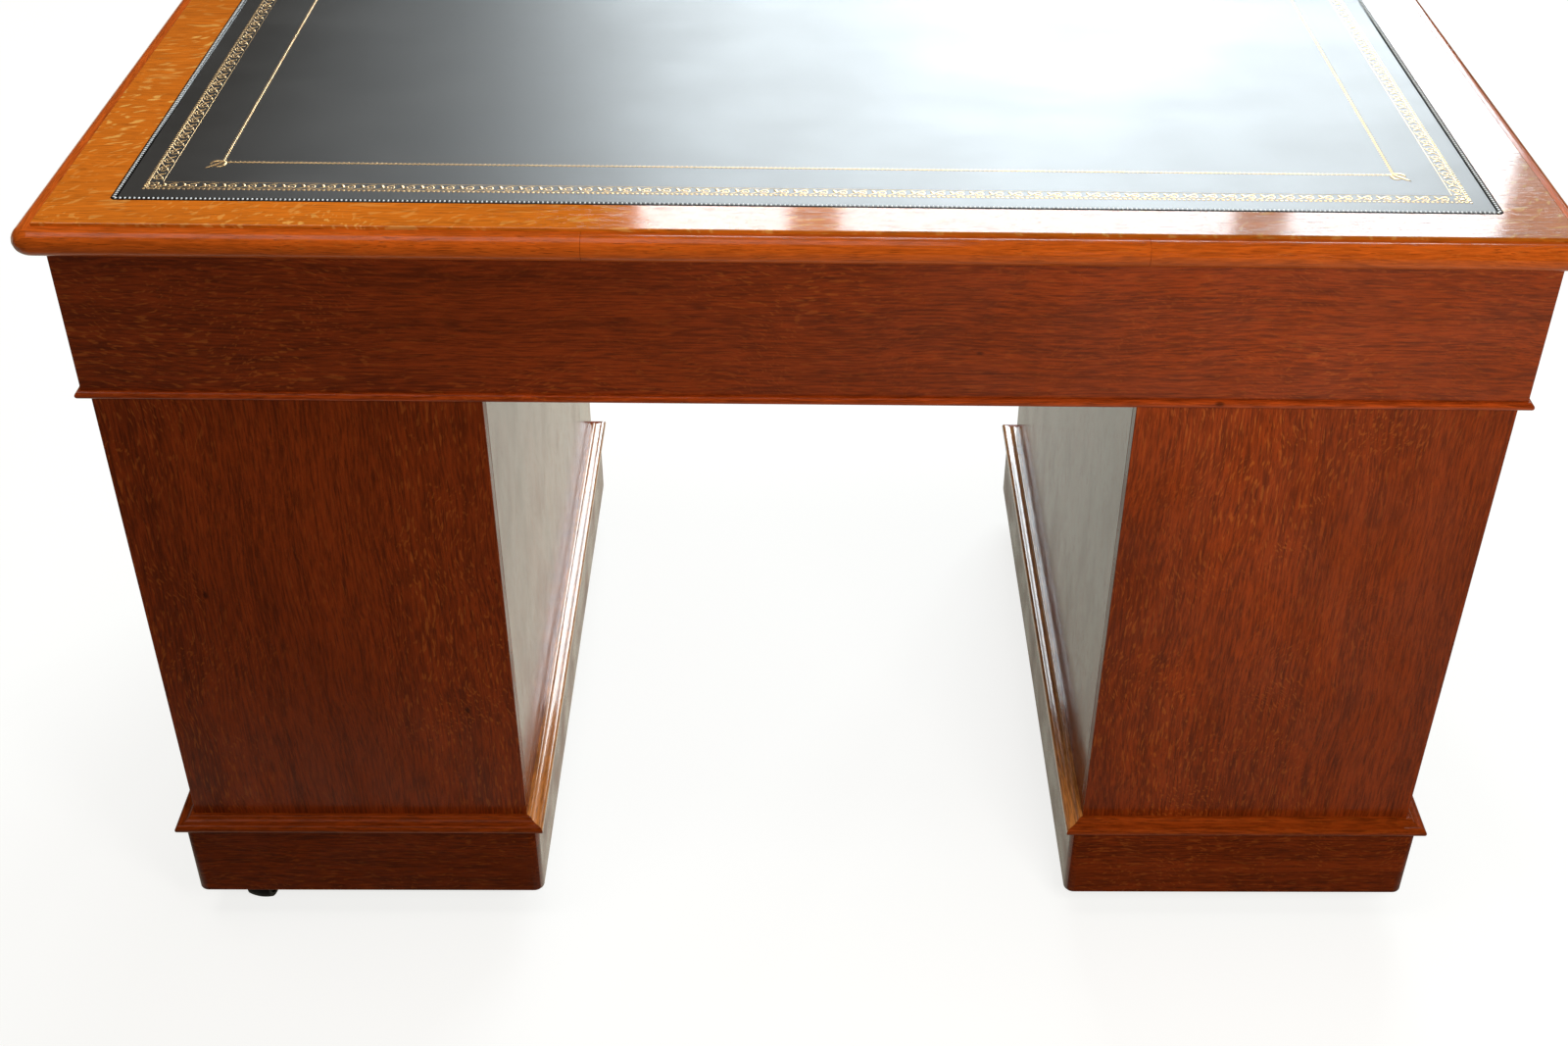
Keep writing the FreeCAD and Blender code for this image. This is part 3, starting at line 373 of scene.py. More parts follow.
class Recipe:
    """The node tree of a material or of the surroundings, with short calls for the nodes that
    the finishes share. A term is a number, a tuple or the socket of another node."""

    def __init__(self, name, kind="materials", shader="Principled BSDF"):
        self.made = getattr(bpy.data, kind).new(name)
        self.made.use_nodes = True
        self.tree = self.made.node_tree
        self.shader = self.tree.nodes[shader]

    def add(self, kind, **settings):
        node = self.tree.nodes.new(kind)
        for key, value in settings.items():
            setattr(node, key, value)
        return node

    def put(self, socket, value):
        if isinstance(value, bpy.types.NodeSocket):
            self.tree.links.new(value, socket)
        else:
            socket.default_value = value

    def math(self, operation, *terms):
        node = self.add("ShaderNodeMath", operation=operation)
        for socket, term in zip(node.inputs, terms):
            self.put(socket, term)
        return node.outputs[0]

    def places(self):
        """Object coordinates as three sockets."""
        return self.parts(self.add("ShaderNodeTexCoord").outputs["Object"])

    def vector(self, x, y, z):
        node = self.add("ShaderNodeCombineXYZ")
        for socket, value in zip(node.inputs, (x, y, z)):
            self.put(socket, value)
        return node.outputs[0]

    def both(self, operation, *vectors):
        """Two vectors multiplied or added, part by part."""
        node = self.add("ShaderNodeVectorMath", operation=operation)
        for socket, vector in zip(node.inputs, vectors):
            self.put(socket, vector)
        return node.outputs[0]

    def stretched(self, vector, scale):
        return self.both("MULTIPLY", vector, scale)

    def shifted(self, vector, offset):
        return self.both("ADD", vector, offset)

    def parts(self, vector):
        """The three parts of a vector as sockets."""
        split = self.add("ShaderNodeSeparateXYZ")
        self.put(split.inputs[0], vector)
        return split.outputs[0], split.outputs[1], split.outputs[2]

    def noise(self, vector, scale=1.0, detail=2.0, roughness=0.5):
        node = self.add("ShaderNodeTexNoise")
        terms = {"Vector": vector, "Scale": scale, "Detail": detail, "Roughness": roughness}
        for key, term in terms.items():
            self.put(node.inputs[key], term)
        return node.outputs["Fac"]

    def cells(self, vector, scale):
        """The distance to the middle of the nearest cell, and the cell's random colour."""
        node = self.add("ShaderNodeTexVoronoi")
        self.put(node.inputs["Vector"], vector)
        self.put(node.inputs["Scale"], scale)
        return node.outputs["Distance"], node.outputs["Color"]

    def rays(self):
        """The kinds of ray as sockets by name, and 1 where the eye looks, also through glass."""
        kinds = self.add("ShaderNodeLightPath").outputs
        return kinds, self.math("MAXIMUM", kinds["Is Camera Ray"], kinds["Is Transmission Ray"])

    def span(self, value, low, high, to_low=0.0, to_high=1.0):
        """A value eased from one span to another and held at its ends."""
        node = self.add("ShaderNodeMapRange", interpolation_type="SMOOTHSTEP")
        for socket, term in zip(node.inputs, (value, low, high, to_low, to_high)):
            self.put(socket, term)
        return node.outputs[0]

    def blend(self, share, first, second, how="MIX"):
        """A share of the second colour in the first."""
        node = self.add("ShaderNodeMix", data_type="RGBA", blend_type=how)
        self.put(node.inputs[0], share)
        for socket, tint in ((node.inputs[6], first), (node.inputs[7], second)):
            self.put(socket, tint if isinstance(tint, bpy.types.NodeSocket) else (*tint, 1.0))
        return node.outputs[2]

    def either(self, share, first, second):
        """The first vector, or the second where the share is 1."""
        node = self.add("ShaderNodeMix", data_type="VECTOR")
        self.put(node.inputs[0], share)
        self.put(node.inputs[4], first)
        self.put(node.inputs[5], second)
        return node.outputs[1]

    def bump(self, height, depth, strength):
        node = self.add("ShaderNodeBump")
        self.put(node.inputs["Strength"], strength)
        self.put(node.inputs["Distance"], depth)
        self.put(node.inputs["Height"], height)
        self.put(self.shader.inputs["Normal"], node.outputs[0])

    def finish(self, **values):
        """Set the shader's sockets, whose names have lines for spaces here."""
        for key, value in values.items():
            self.put(self.shader.inputs[key.replace("_", " ")], value)
        return self.made


def grain_run(recipe, run):
    """Coordinates along and across the grain, and 1 on the strips beside the kneehole. The run is
    X, Y or Z, "boards" for pieces whose grain lies along their length by the way that they face,
    or a ring (middle x, half x, half y) whose end strips have their grain along Y."""
    x, y, z = recipe.places()
    if run == "Z":
        return recipe.vector(z, x, y), 0.0
    along_x = recipe.vector(x, y, z)
    if run == "X":
        return along_x, 0.0
    along_y = recipe.vector(y, x, z)
    if run == "Y":
        return along_y, 0.0
    if run == "boards":
        facing_x = recipe.parts(recipe.add("ShaderNodeNewGeometry").outputs["Normal"])[0]
        sideways = recipe.math("GREATER_THAN", recipe.math("ABSOLUTE", facing_x), 0.5)
        return recipe.either(sideways, along_x, along_y), 0.0
    middle, half_x, half_y = run
    from_middle = recipe.math("SUBTRACT", recipe.math("ABSOLUTE", x), middle)
    out_x = recipe.math("SUBTRACT", recipe.math("ABSOLUTE", from_middle), half_x)
    out_y = recipe.math("SUBTRACT", recipe.math("ABSOLUTE", y), half_y)
    sideways = recipe.math("GREATER_THAN", out_x, out_y)
    beside = recipe.math("MULTIPLY", sideways, recipe.math("LESS_THAN", from_middle, 0.0))
    return recipe.either(sideways, along_x, along_y), beside


def oak(name, run, ground, fleck, flecks=0.7, polish=0.16, contrast=1.0, gloss=0.5,
        ray_scale=(62.0, 430.0), lean=0.075, slant=0.0, side_gloss=None, side_coat=0.0,
        face_shade=None, end_shade=1.0, lipping=None):
    """Quarter-sawn oak: broad streaks and fine fibres along the grain, short dark pores, slanting
    pale ray flecks in drifts and a few dark pin knots. The ray scale is how many flecks lie in a
    metre along and across the grain, the lean is how far they stray across it and the slant is
    their slope. Strips beside the kneehole may have a gloss and a clear coat of their own, and the
    other strips of a ring a darker tint that is painted shade, so that the kneehole strips read as
    painted light. The end shade is painted shade that darkens the wood towards -X. The lipping is
    how far forward, along -Y, a polished facing starts, and its colour."""
    recipe = Recipe(name)
    noise, stretched, times = recipe.noise, recipe.stretched, partial(recipe.math, "MULTIPLY")
    grain, beside = grain_run(recipe, run)
    ground = np.array(ground)
    # Streaks, fibres and pores sway slowly across the grain.
    sway = noise(stretched(grain, SWAY_SCALE), detail=2)
    sway = times(recipe.math("SUBTRACT", sway, 0.5), SWAY_REACH)
    swayed = recipe.shifted(grain, recipe.vector(0.0, sway, sway))
    streak = noise(stretched(swayed, STREAK_SCALE), detail=5, roughness=0.62)
    fibre = noise(stretched(swayed, FIBRE_SCALE), detail=3, roughness=0.6)
    pore = recipe.span(noise(stretched(swayed, PORE_SCALE), detail=1), *PORE_SPAN)
    # Ray flecks lean and slant, and come in drifts.
    twist = noise(stretched(grain, TWIST_SCALE), detail=1)
    twist = times(recipe.math("SUBTRACT", twist, 0.5), lean)
    if slant:
        twist = recipe.math("ADD", twist, times(recipe.parts(grain)[0], slant))
    leaning = recipe.shifted(grain, recipe.vector(0.0, twist, twist))
    ray_along, ray_across = ray_scale
    ray = noise(stretched(leaning, (ray_along, ray_across, ray_across)), detail=1.5, roughness=0.45)
    drift = recipe.span(noise(stretched(grain, DRIFT_SCALE), detail=1), *DRIFT_SPAN)
    ray = times(recipe.span(ray, *RAY_SPAN), drift)
    cloud = noise(stretched(grain, CLOUD_SCALE), detail=2)
    cloud = recipe.span(cloud, *CLOUD_SPAN, CLOUD_COVER * contrast, 0.0)
    spot, chance = recipe.cells(stretched(grain, KNOT_STRETCH), KNOT_SCALE)
    rare = recipe.add("ShaderNodeSeparateColor")
    recipe.put(rare.inputs[0], chance)
    knot = times(recipe.span(spot, *KNOT_SPAN),
                 recipe.math("GREATER_THAN", rare.outputs[0], KNOT_RARITY))
    # The colour, from the ground up
    tone = recipe.math("ADD", times(streak, STREAK_SHARE), times(fibre, FIBRE_SHARE))
    tone = recipe.span(tone, *TONE_SPAN)
    body = recipe.blend(tone, tuple(ground * (1 - STREAK_FALL * contrast)), tuple(ground))
    body = recipe.blend(times(ray, flecks), body, fleck)
    body = recipe.blend(cloud, body, tuple(ground * CLOUD_TONE))
    body = recipe.blend(times(pore, PORE_COVER), body, tuple(ground * PORE_TONE))
    body = recipe.blend(times(knot, KNOT_COVER), body, tuple(ground * KNOT_TONE))
    # Painted shade: the strips of a ring away from the kneehole are multiplied by a darker tint.
    if face_shade is not None:
        body = recipe.blend(beside, recipe.blend(1.0, body, face_shade, "MULTIPLY"), body)
    # Painted shade: the wood darkens towards -X.
    if end_shade < 1:
        shade = recipe.span(recipe.places()[0], *END_SHADE_SPAN, 1 - end_shade, 0.0)
        body = recipe.blend(shade, body, (0.0, 0.0, 0.0))
    # The polish
    if side_gloss is not None:
        gloss = recipe.span(beside, 0.0, 1.0, gloss, side_gloss)
    if side_coat:
        recipe.finish(Coat_Weight=times(beside, side_coat), Coat_Roughness=COAT_ROUGHNESS)
    smear = noise(stretched(grain, SMEAR_SCALE), detail=3)
    rough = recipe.span(smear, *SMEAR_SPAN, *(polish * share for share in POLISH_RANGE))
    if lipping is not None:
        start, facing = lipping
        faced = recipe.math("LESS_THAN", recipe.places()[1], start)
        facing = np.array(facing)
        polished = recipe.blend(tone, tuple(facing * FACING_TONE), tuple(facing))
        body = recipe.blend(faced, body, polished)
        rough = recipe.span(faced, 0.0, 1.0, rough, FACING_ROUGHNESS)
    pits = recipe.math("ADD", pore, knot)
    recipe.bump(recipe.math("SUBTRACT", times(fibre, FIBRE_RELIEF), pits), **OAK_RELIEF)
    return recipe.finish(Base_Color=body, Roughness=rough, IOR=OAK_IOR, Specular_IOR_Level=gloss)


def hide(finish):
    """Dyed hide: fine pebbled grain from small cells, with faint scuffs in its gloss, which is
    keener towards the +X end."""
    recipe = Recipe("black_hide")
    x, y, z = recipe.places()
    place = recipe.vector(x, y, z)
    pebble, _ = recipe.cells(place, PEBBLE_SCALE)
    crease = recipe.noise(place, CREASE_SCALE, detail=4, roughness=0.6)
    scuff = recipe.noise(recipe.stretched(place, SCUFF_SCALE), detail=4, roughness=0.6)
    tones = (tuple(np.array(finish.leather) * tone) for tone in SCUFF_TONES)
    tint = recipe.blend(recipe.span(scuff, *SCUFF_TINT), *tones)
    rough = recipe.span(scuff, *HIDE_ROUGHNESS)
    rough = recipe.math("SUBTRACT", rough, recipe.span(x, *KEEN_END))
    height = recipe.math("ADD", recipe.math("MULTIPLY", pebble, PEBBLE_RELIEF),
                         recipe.math("MULTIPLY", crease, CREASE_RELIEF))
    recipe.bump(height, **HIDE_RELIEF)
    return recipe.finish(Base_Color=tint, Roughness=rough, IOR=HIDE_IOR)


def metal(name, base, worn, roughness, metallic, scale=60.0, shine=0.5, wax=0.0):
    """A metal whose colour and gloss drift in small patches, under a coat of wax if it has one.
    Worn is the share of each colour that a worn patch keeps."""
    recipe = Recipe(name)
    place = recipe.vector(*recipe.places())
    patch = recipe.noise(place, scale, detail=5, roughness=0.65)
    speck = recipe.noise(place, scale * SPECKS_PER_PATCH, detail=2)
    base = np.array(base)
    worn_tint = tuple(np.minimum(base * np.array(worn), 1))
    tint = recipe.blend(recipe.span(patch, *PATCH_TINT), tuple(base), worn_tint)
    rough = recipe.span(patch, *PATCH_SPAN, *(roughness * share for share in PATCH_RANGE))
    recipe.bump(speck, **METAL_RELIEF)
    if wax:
        recipe.finish(Coat_Weight=wax, Coat_Roughness=WAX_ROUGHNESS, Coat_IOR=HIDE_IOR)
    return recipe.finish(Base_Color=tint, Roughness=rough, Metallic=metallic,
                         Specular_IOR_Level=shine)


def gilding(finish):
    """The one gold leaf finish, made on first use."""
    found = bpy.data.materials.get("gold_leaf")
    return found or metal("gold_leaf", finish.gilt, (0.80, 0.72, 0.60), 0.34, 1.0, scale=320.0,
                          wax=0.9)


def dress(node_name, material, arris=0.0):
    """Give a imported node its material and, with an arris, a small bevel along its sharp edges."""
    thing = NODES[node_name]
    thing.data.materials.clear()
    thing.data.materials.append(material)
    if arris:
        weld = thing.modifiers.new("weld", "WELD")
        weld.merge_threshold = WELD_REACH
        bevel = thing.modifiers.new("eased_arris", "BEVEL")
        bevel.width = arris
        bevel.segments = 2
        bevel.limit_method = "ANGLE"
        bevel.angle_limit = ARRIS_ANGLE
        bevel.harden_normals = False
        bevel.use_clamp_overlap = True


# Operators, one for each piece or group of like pieces

class DESK_OT_dress_oak(bpy.types.Operator):
    """Finish the polished oak: top, frieze, pedestals, mouldings, drawer fronts and knobs"""
    bl_idname = "desk.dress_oak"
    bl_label = "Dress Polished Oak"

    def execute(self, context):
        finish = context.scene.desk_finish
        arris = context.scene.desk_tooling.arris
        outer, half_depth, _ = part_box("pedestal_backs")[1]
        front_low, front_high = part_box("right_lower_drawer_front")
        inner = front_low[0] - (outer - front_high[0])
        ring = ((inner + outer) / 2, (outer - inner) / 2, half_depth)
        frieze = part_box("frieze_back")[1]
        case = (finish.case_ground, finish.case_fleck)
        # The plinths take the case oak darkened as painted shade and the bead takes it brightened as
        # a painted highlight.
        plinth_shaded_case, bead_lit_case = (tuple(tuple(np.array(tint) * share) for tint in case)
                               for share in (0.75, 1.7))
        # The border and the rounded edge are painted darker towards -X: painted shade.
        border = oak("border_oak", "X", finish.top_ground, finish.top_fleck, flecks=0.85,
                     polish=0.065, contrast=0.5, ray_scale=(34.0, 150.0), lean=0.10, slant=-0.6,
                     end_shade=0.55)
        dress("top_board", border, arris)
        rounded = oak("edge_oak", (0.0, BOARD_HIGH[0], BOARD_HIGH[1]), finish.edge_ground,
                      finish.edge_fleck, flecks=0.25, polish=0.10, contrast=0.7, gloss=0.26,
                      end_shade=0.78)
        dress("top_edge", rounded)
        bead = oak("bead_oak", (0.0, frieze[0], frieze[1]), *bead_lit_case, flecks=0.2, polish=0.14,
                   gloss=0.3)
        dress("frieze_moulding", bead)
        # The ogee's strips beside the kneehole keep the bright ground as painted light, and its
        # other strips take a darker tint as painted shade.
        ogee = oak("ogee_oak", ring, finish.ogee_ground, finish.top_fleck, flecks=0.2, polish=0.2,
                   gloss=0.12, side_gloss=0.5, side_coat=1.0, face_shade=(0.47, 0.2, 0.09))
        dress("base_mouldings", ogee)
        plinth = oak("plinth_oak", ring, *plinth_shaded_case, flecks=0.45, polish=0.26, gloss=0.05,
                     side_gloss=1.0)
        dress("plinths", plinth, arris)
        side = oak("side_oak", "Z", *case, flecks=0.6, polish=0.13, gloss=0.45)
        dress("pedestal_sides", side, arris)
        upright = oak("upright_oak", "Z", *case, flecks=0.55, polish=0.24, gloss=0.18)
        dress("pedestal_backs", upright, arris)
        level = oak("level_oak", "X", *case, flecks=0.6, polish=0.22, gloss=0.32)
        for name in ("frieze_back", "frieze_rails", "pedestal_rails"):
            dress(name, level, arris)
        dress("frieze_ends", oak("end_oak", "Y", *case, flecks=0.4, polish=0.14), arris)
        fronts = oak("front_oak", "X", *case, flecks=0.8, polish=0.13)
        turned = oak("turned_oak", "Y", *case, flecks=0.3, polish=0.11)
        for drawer in DRAWERS:
            dress(f"{drawer}_front", fronts, arris)
            dress(f"{drawer}_knobs", turned)
        return {"FINISHED"}


class DESK_OT_dress_carcass(bpy.types.Operator):
    """Finish the timber inside the case and the drawer linings"""
    bl_idname = "desk.dress_carcass"
    bl_label = "Dress Carcass and Linings"

    def execute(self, context):
        finish = context.scene.desk_finish
        tooling = context.scene.desk_tooling
        arris = tooling.arris
        timber = (finish.carcass_ground, finish.carcass_fleck)
        plain = {"flecks": 0.2, "polish": 0.5, "gloss": 0.3}
        dress("castor_blocks", oak("sawn_timber", "X", *timber, **plain), arris)
        dress("drawer_runners", oak("runner_timber", "Y", *timber, **plain), arris)
        # The boards whose front edges show carry a thin polished facing there.
        for name, run in (("pedestal_boards", "X"), ("frieze_partitions", "Y")):
            lipping = (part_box(name)[0][1] + tooling.facing, finish.case_ground)
            dress(name, oak(f"{name}_timber", run, *timber, **plain, lipping=lipping), arris)
        lining = oak("lining_oak", "boards", finish.lining_ground, finish.lining_fleck, flecks=0.6,
                     polish=0.38, contrast=0.6, gloss=0.35)
        for drawer in DRAWERS:
            dress(f"{drawer}_box", lining, arris / 2)
        return {"FINISHED"}


class DESK_OT_dress_castors(bpy.types.Operator):
    """Finish the castors' plates, forks and wheels"""
    bl_idname = "desk.dress_castors"
    bl_label = "Dress Castors"

    def execute(self, context):
        black = context.scene.desk_finish.iron
        iron = metal("castor_iron", black, (1.6, 1.2, 1.0), 0.6, 0.0, shine=0.1)
        tread = metal("castor_tread", tuple(np.array(black) * 0.5), (1.6, 1.5, 1.4), 0.6, 0.0,
                      scale=90.0, shine=0.05)
        for name in NODES:
            if name.startswith("castor_wheel"):
                dress(name, tread)
            elif name.startswith("castor_fork") or name == "castor_plates":
                dress(name, iron)
        return {"FINISHED"}


class DESK_OT_lay_leather(bpy.types.Operator):
    """Lay the leather in its recess, with rolled edges and a faint pull in its surface"""
    bl_idname = "desk.lay_leather"
    bl_label = "Lay Leather"

    def execute(self, context):
        roll = 0.0012
        margin = 0.004
        pull = 0.000008
        steps = np.array([0.0, 0.15, 0.45, 1.0]) * roll
        lines = []
        for low, high, count in zip(LEATHER_LOW[:2], LEATHER_HIGH[:2], (150, 90)):
            inside = np.linspace(low + margin, high - margin, count)
            lines.append(np.concatenate([low + steps, inside, (high - steps)[::-1]]))
        u, v = np.meshgrid(*lines, indexing="ij")
        # Height: the top less a quarter-round fall towards the edge and less a slow double wave.
        edge = np.minimum.reduce([u - LEATHER_LOW[0], LEATHER_HIGH[0] - u,
                                  v - LEATHER_LOW[1], LEATHER_HIGH[1] - v])
        share = np.clip(edge / roll, 0, 1)
        fall = (1 - np.sqrt(1 - (1 - share) ** 2)) * roll * 0.5
        wave = (np.sin(u * 9.0 + v * 4.0) * np.sin(v * 11.0 - u * 3.0) + 1) * pull
        height = np.where(edge <= 0, LEATHER_LOW[2], LEATHER_HIGH[2] - fall - wave)
        points = np.stack([u, v, height], -1)
        rows, columns = u.shape
        faces = grid_faces(rows, columns)[:, ::-1].tolist()
        index = np.arange(rows * columns).reshape(rows, columns)
        rim = np.concatenate([index[:-1, 0], index[-1, :-1], index[:0:-1, -1], index[0, :0:-1]])
        faces.append(rim[::-1].tolist())
        black = hide(context.scene.desk_finish)
        piece = add_piece("leather_hide", points, faces, black, "desk")
        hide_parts("leather_inset")
        return {"FINISHED"}


class DESK_OT_tool_band(bpy.types.Operator):
    """Tool the outer gilt band: a row of beads, running scrolls with leaves and two thin lines"""
    bl_idname = "desk.tool_band"
    bl_label = "Tool Gilt Band"

    def execute(self, context):
        tooling = context.scene.desk_tooling
        level = LEATHER_HIGH[2]
        rise = tooling.gilt_rise
        wide = tooling.band_width
        pitch = tooling.scroll_pitch
        inset = tooling.band_inset

        def row(motif, widths):
            """A motif repeated on all four sides, with the band's width left at the corners."""
            return ribbons(repeat_along(motif[None], inset, pitch, wide), widths, rise, level)

        # A scroll is a spiral whose radius shrinks with its turn, then a wave to the next scroll.
        # Each strip swells and thins as a sine along it.
        swing = np.linspace(0, 1, 17)
        angle = np.radians(-150 + 500 * swing)
        radius = 0.27 * (1 - 0.72 * swing)
        spiral = np.stack([0.52 + radius * np.cos(angle),
                           wide * 0.56 + radius * pitch * np.sin(angle)], -1)
        wave = np.stack([-0.22 + 1.02 * swing,
                         wide * (0.26 + 0.62 * swing ** 2 * (3 - 2 * swing))], -1)
        leaf = np.stack([0.02 + 0.20 * swing, wide * (0.82 - 0.42 * swing ** 1.5)], -1)
        scrolls = row(spiral, 0.0016 * np.sin(np.pi * (0.12 + 0.80 * swing)) ** 0.6)
        waves = row(wave, 0.0015 * np.sin(np.pi * (0.08 + 0.84 * swing)) ** 0.7)
        leaves = row(leaf, 0.0030 * np.sin(np.pi * (0.06 + 0.88 * swing)))
        # Four beads to a scroll lie just inside the band's outer side.
        bead_inset = inset + 0.0012
        beads, headings = spaced_along(bead_inset, pitch / 4, 0.0)
        beads = domes(beads, 0.00145, 0.00125, headings, rise * 2, level)
        lines = [closed_line(inset + share * wide, 0.0006, rise, level) for share in (0.19, 0.98)]
        corners = self.rosettes(inset + wide / 2, wide, rise, level)
        points, faces = joined(scrolls, waves, leaves, beads, *lines, corners)
        gilt = gilding(context.scene.desk_finish)
        add_piece("gilt_band", points, faces, gilt, "desk", merge=MERGE_REACH)
        return {"FINISHED"}

    @staticmethod
    def rosettes(inset, wide, rise, level):
        """A six-petalled rosette at each corner: its radius swings with the cosine of six times
        the angle."""
        steps = 48
        turn = np.linspace(0, 2 * np.pi, steps, endpoint=False)
        radius = wide * (0.36 + 0.10 * np.cos(6 * turn))
        outline = np.stack([radius * np.cos(turn), radius * np.sin(turn)], -1)
        centres = np.array([start for start, *_ in sides_of(inset)])
        widths = np.full(steps, 0.0014)
        petals = ribbons(centres[:, None] + outline, widths, rise, level, closed=True)
        eye = wide * 0.17
        eyes = domes(centres, eye, eye, np.tile([1.0, 0.0], (4, 1)), rise * 2, level)
        return joined(petals, eyes)


class DESK_OT_tool_line(bpy.types.Operator):
    """Tool the inner gilt rope line and the leaf at each of its corners"""
    bl_idname = "desk.tool_line"
    bl_label = "Tool Gilt Line"

    def execute(self, context):
        tooling = context.scene.desk_tooling
        level = LEATHER_HIGH[2]
        rise = tooling.gilt_rise
        wide = tooling.line_width
        # A strand leans across the line: along by a pitch and a half while it crosses once.
        sweep = np.linspace(0, 1, 7)
        strand = np.stack([-0.25 + 1.5 * sweep,
                           wide * (sweep - 0.5 + 0.12 * np.sin(2 * np.pi * sweep))], -1)
        strands = repeat_along(strand[None], tooling.line_inset, tooling.strand_pitch, wide / 2)
        rope = ribbons(strands, 0.0017 * np.sin(np.pi * (0.10 + 0.80 * sweep)), rise, level)
        # A leaf reaches out along the diagonal; two side lobes curl away from it.
        reach = tooling.leaf_reach
        root = 0.003
        step = np.linspace(0, 1, 13)
        lobes = []
        for start, ahead, inward, _ in sides_of(tooling.line_inset):
            out = -(ahead + inward) / math.sqrt(2)
            aside = np.array([-out[1], out[0]])
            lobes.append(start + (step * reach - root)[:, None] * out)
            for way in (-1, 1):
                bend = way * reach * 0.30 * np.sin(np.pi * step * 0.8)
                along = step * reach * 0.62 - root
                lobes.append(start + along[:, None] * out + bend[:, None] * aside)
        widths = 0.0042 * np.sin(np.pi * (0.05 + 0.9 * step)) ** 0.8
        leaves = ribbons(np.array(lobes), widths, rise * 1.5, level)
        points, faces = joined(rope, leaves)
        gilt = gilding(context.scene.desk_finish)
        add_piece("gilt_line", points, faces, gilt, "desk")
        return {"FINISHED"}


class DESK_OT_mark_edge(bpy.types.Operator):
    """Mark the leather's edge with a dark line and a row of small wheel-tooled bosses whose pale
    tops are a painted highlight
    """
    bl_idname = "desk.mark_edge"
    bl_label = "Mark Leather Edge"

    def execute(self, context):
        level = LEATHER_HIGH[2]
        inset = 0.0002
        half_long, half_wide, boss_rise = 0.0010, 0.0016, 0.0012
        line_width, line_rise = 0.0056, 0.0002
        centres, headings = spaced_along(inset, context.scene.desk_tooling.tick_pitch, 0.5)
        bosses = domes(centres, half_long, half_wide, headings, boss_rise, level)
        points, faces = joined(bosses, closed_line(inset, line_width, line_rise, level))
        # The bosses' tops are painted pale blue-white above the dark line that they stand on: a
        # painted highlight.
        recipe = Recipe("wheel_marks")
        _, _, z = recipe.places()
        painted_glint = recipe.span(z, level + 0.00022, level + 0.00045)
        tint = recipe.blend(painted_glint, (0.003, 0.003, 0.003), (0.85, 0.90, 0.92))
        marks = recipe.finish(Base_Color=tint, Roughness=0.35)
        add_piece("leather_edge_marks", points, faces, marks, "desk",
                  merge=MERGE_REACH)
        return {"FINISHED"}


class DESK_OT_set_keyholes(bpy.types.Operator):
    """Set a slim brass rim round each keyhole"""
    bl_idname = "desk.set_keyholes"
    bl_label = "Set Keyhole Rims"

    def execute(self, context):
        tooling = context.scene.desk_tooling
        wide = tooling.rim_width
        rim_rise = 0.0004
        below_top = 0.022
        brass = metal("keyhole_brass", context.scene.desk_finish.brass, (0.7, 0.62, 0.5), 0.28, 1.0,
                      scale=300.0)
        eye, slot_half, drop = 0.0032, 0.0015, 0.009
        # The outline: a circle down to where it meets the slot, then the slot's three sides.
        meet = math.asin(slot_half / eye)
        turn = np.linspace(-math.pi / 2 + meet, 1.5 * math.pi - meet, 33)
        grow = wide / 2
        circle = np.stack([np.cos(turn), np.sin(turn)], -1) * (eye + grow)
        foot = np.array([(-slot_half - grow, -drop * 0.6), (-slot_half - grow, -drop - grow),
                         (slot_half + grow, -drop - grow), (slot_half + grow, -drop * 0.6)])
        outline = np.concatenate([circle, foot])
        widths = np.full(len(outline), wide)
        points, faces = ribbons(outline[None], widths, rim_rise, 0.0, closed=True)
        x, up, out = points.T
        for drawer in DRAWERS:
            low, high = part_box(f"{drawer}_front")
            # The flat outline stands up on the front: its up is Z and its rise points to -Y.
            middle = (low[0] + high[0]) / 2
            stood = np.stack([middle + x, low[1] - out, high[2] - below_top + up], -1)
            add_piece(f"{drawer}_keyhole_rim", stood, faces, brass, drawer,
                      smooth=False)
        return {"FINISHED"}


# The stage: lamps by the place of their middle, their size and their turn in degrees. A pane is
# given by its two ends along X. The spans of the floor are in metres along X or Y, or from its
# middle, each followed by the shares of light at its two ends.
PANE_ENDS = ((0.44, 0.03), (-0.11, -1.20), (-1.35, -1.95))
PANE_BACK, PANE_MIDDLE, PANE_HEIGHT = -3.0, 2.05, 2.05
PANE_TINT = (0.82, 0.935, 1.0)
HAZE = {"place": (-1.38, -3.02, 2.15), "size": (3.64, 1.45), "tint": (1.0, 0.95, 0.88)}
SOFT_FILL = {"place": (-0.50, 1.30, 1.10), "size": (0.5, 0.5), "turn": (62, 0, 180)}
OVERHEAD = {"place": (0.70, 0.30, 2.9), "size": (2.0, 1.6), "turn": (0, 0, 0)}
UPRIGHT = (90, 0, 0)
LAMP_TINT = (1.0, 0.98, 0.95)
SKY_TINT = (1.0, 0.80, 0.58)
SENSOR_WIDTH = 36
FLOOR_HALF = 9
FLOOR_SHADE = 0.30
UNDER_DESK = (-0.24, 0.24, 0.62, 1.0)
BEHIND_DESK = (-0.9, 0.6, 1.1, 0.06)
FROM_UNDER_TO_BEHIND = (0.50, 0.80)
TOWARDS_HORIZON = (1.0, 4.5, 0.88, 1.07)


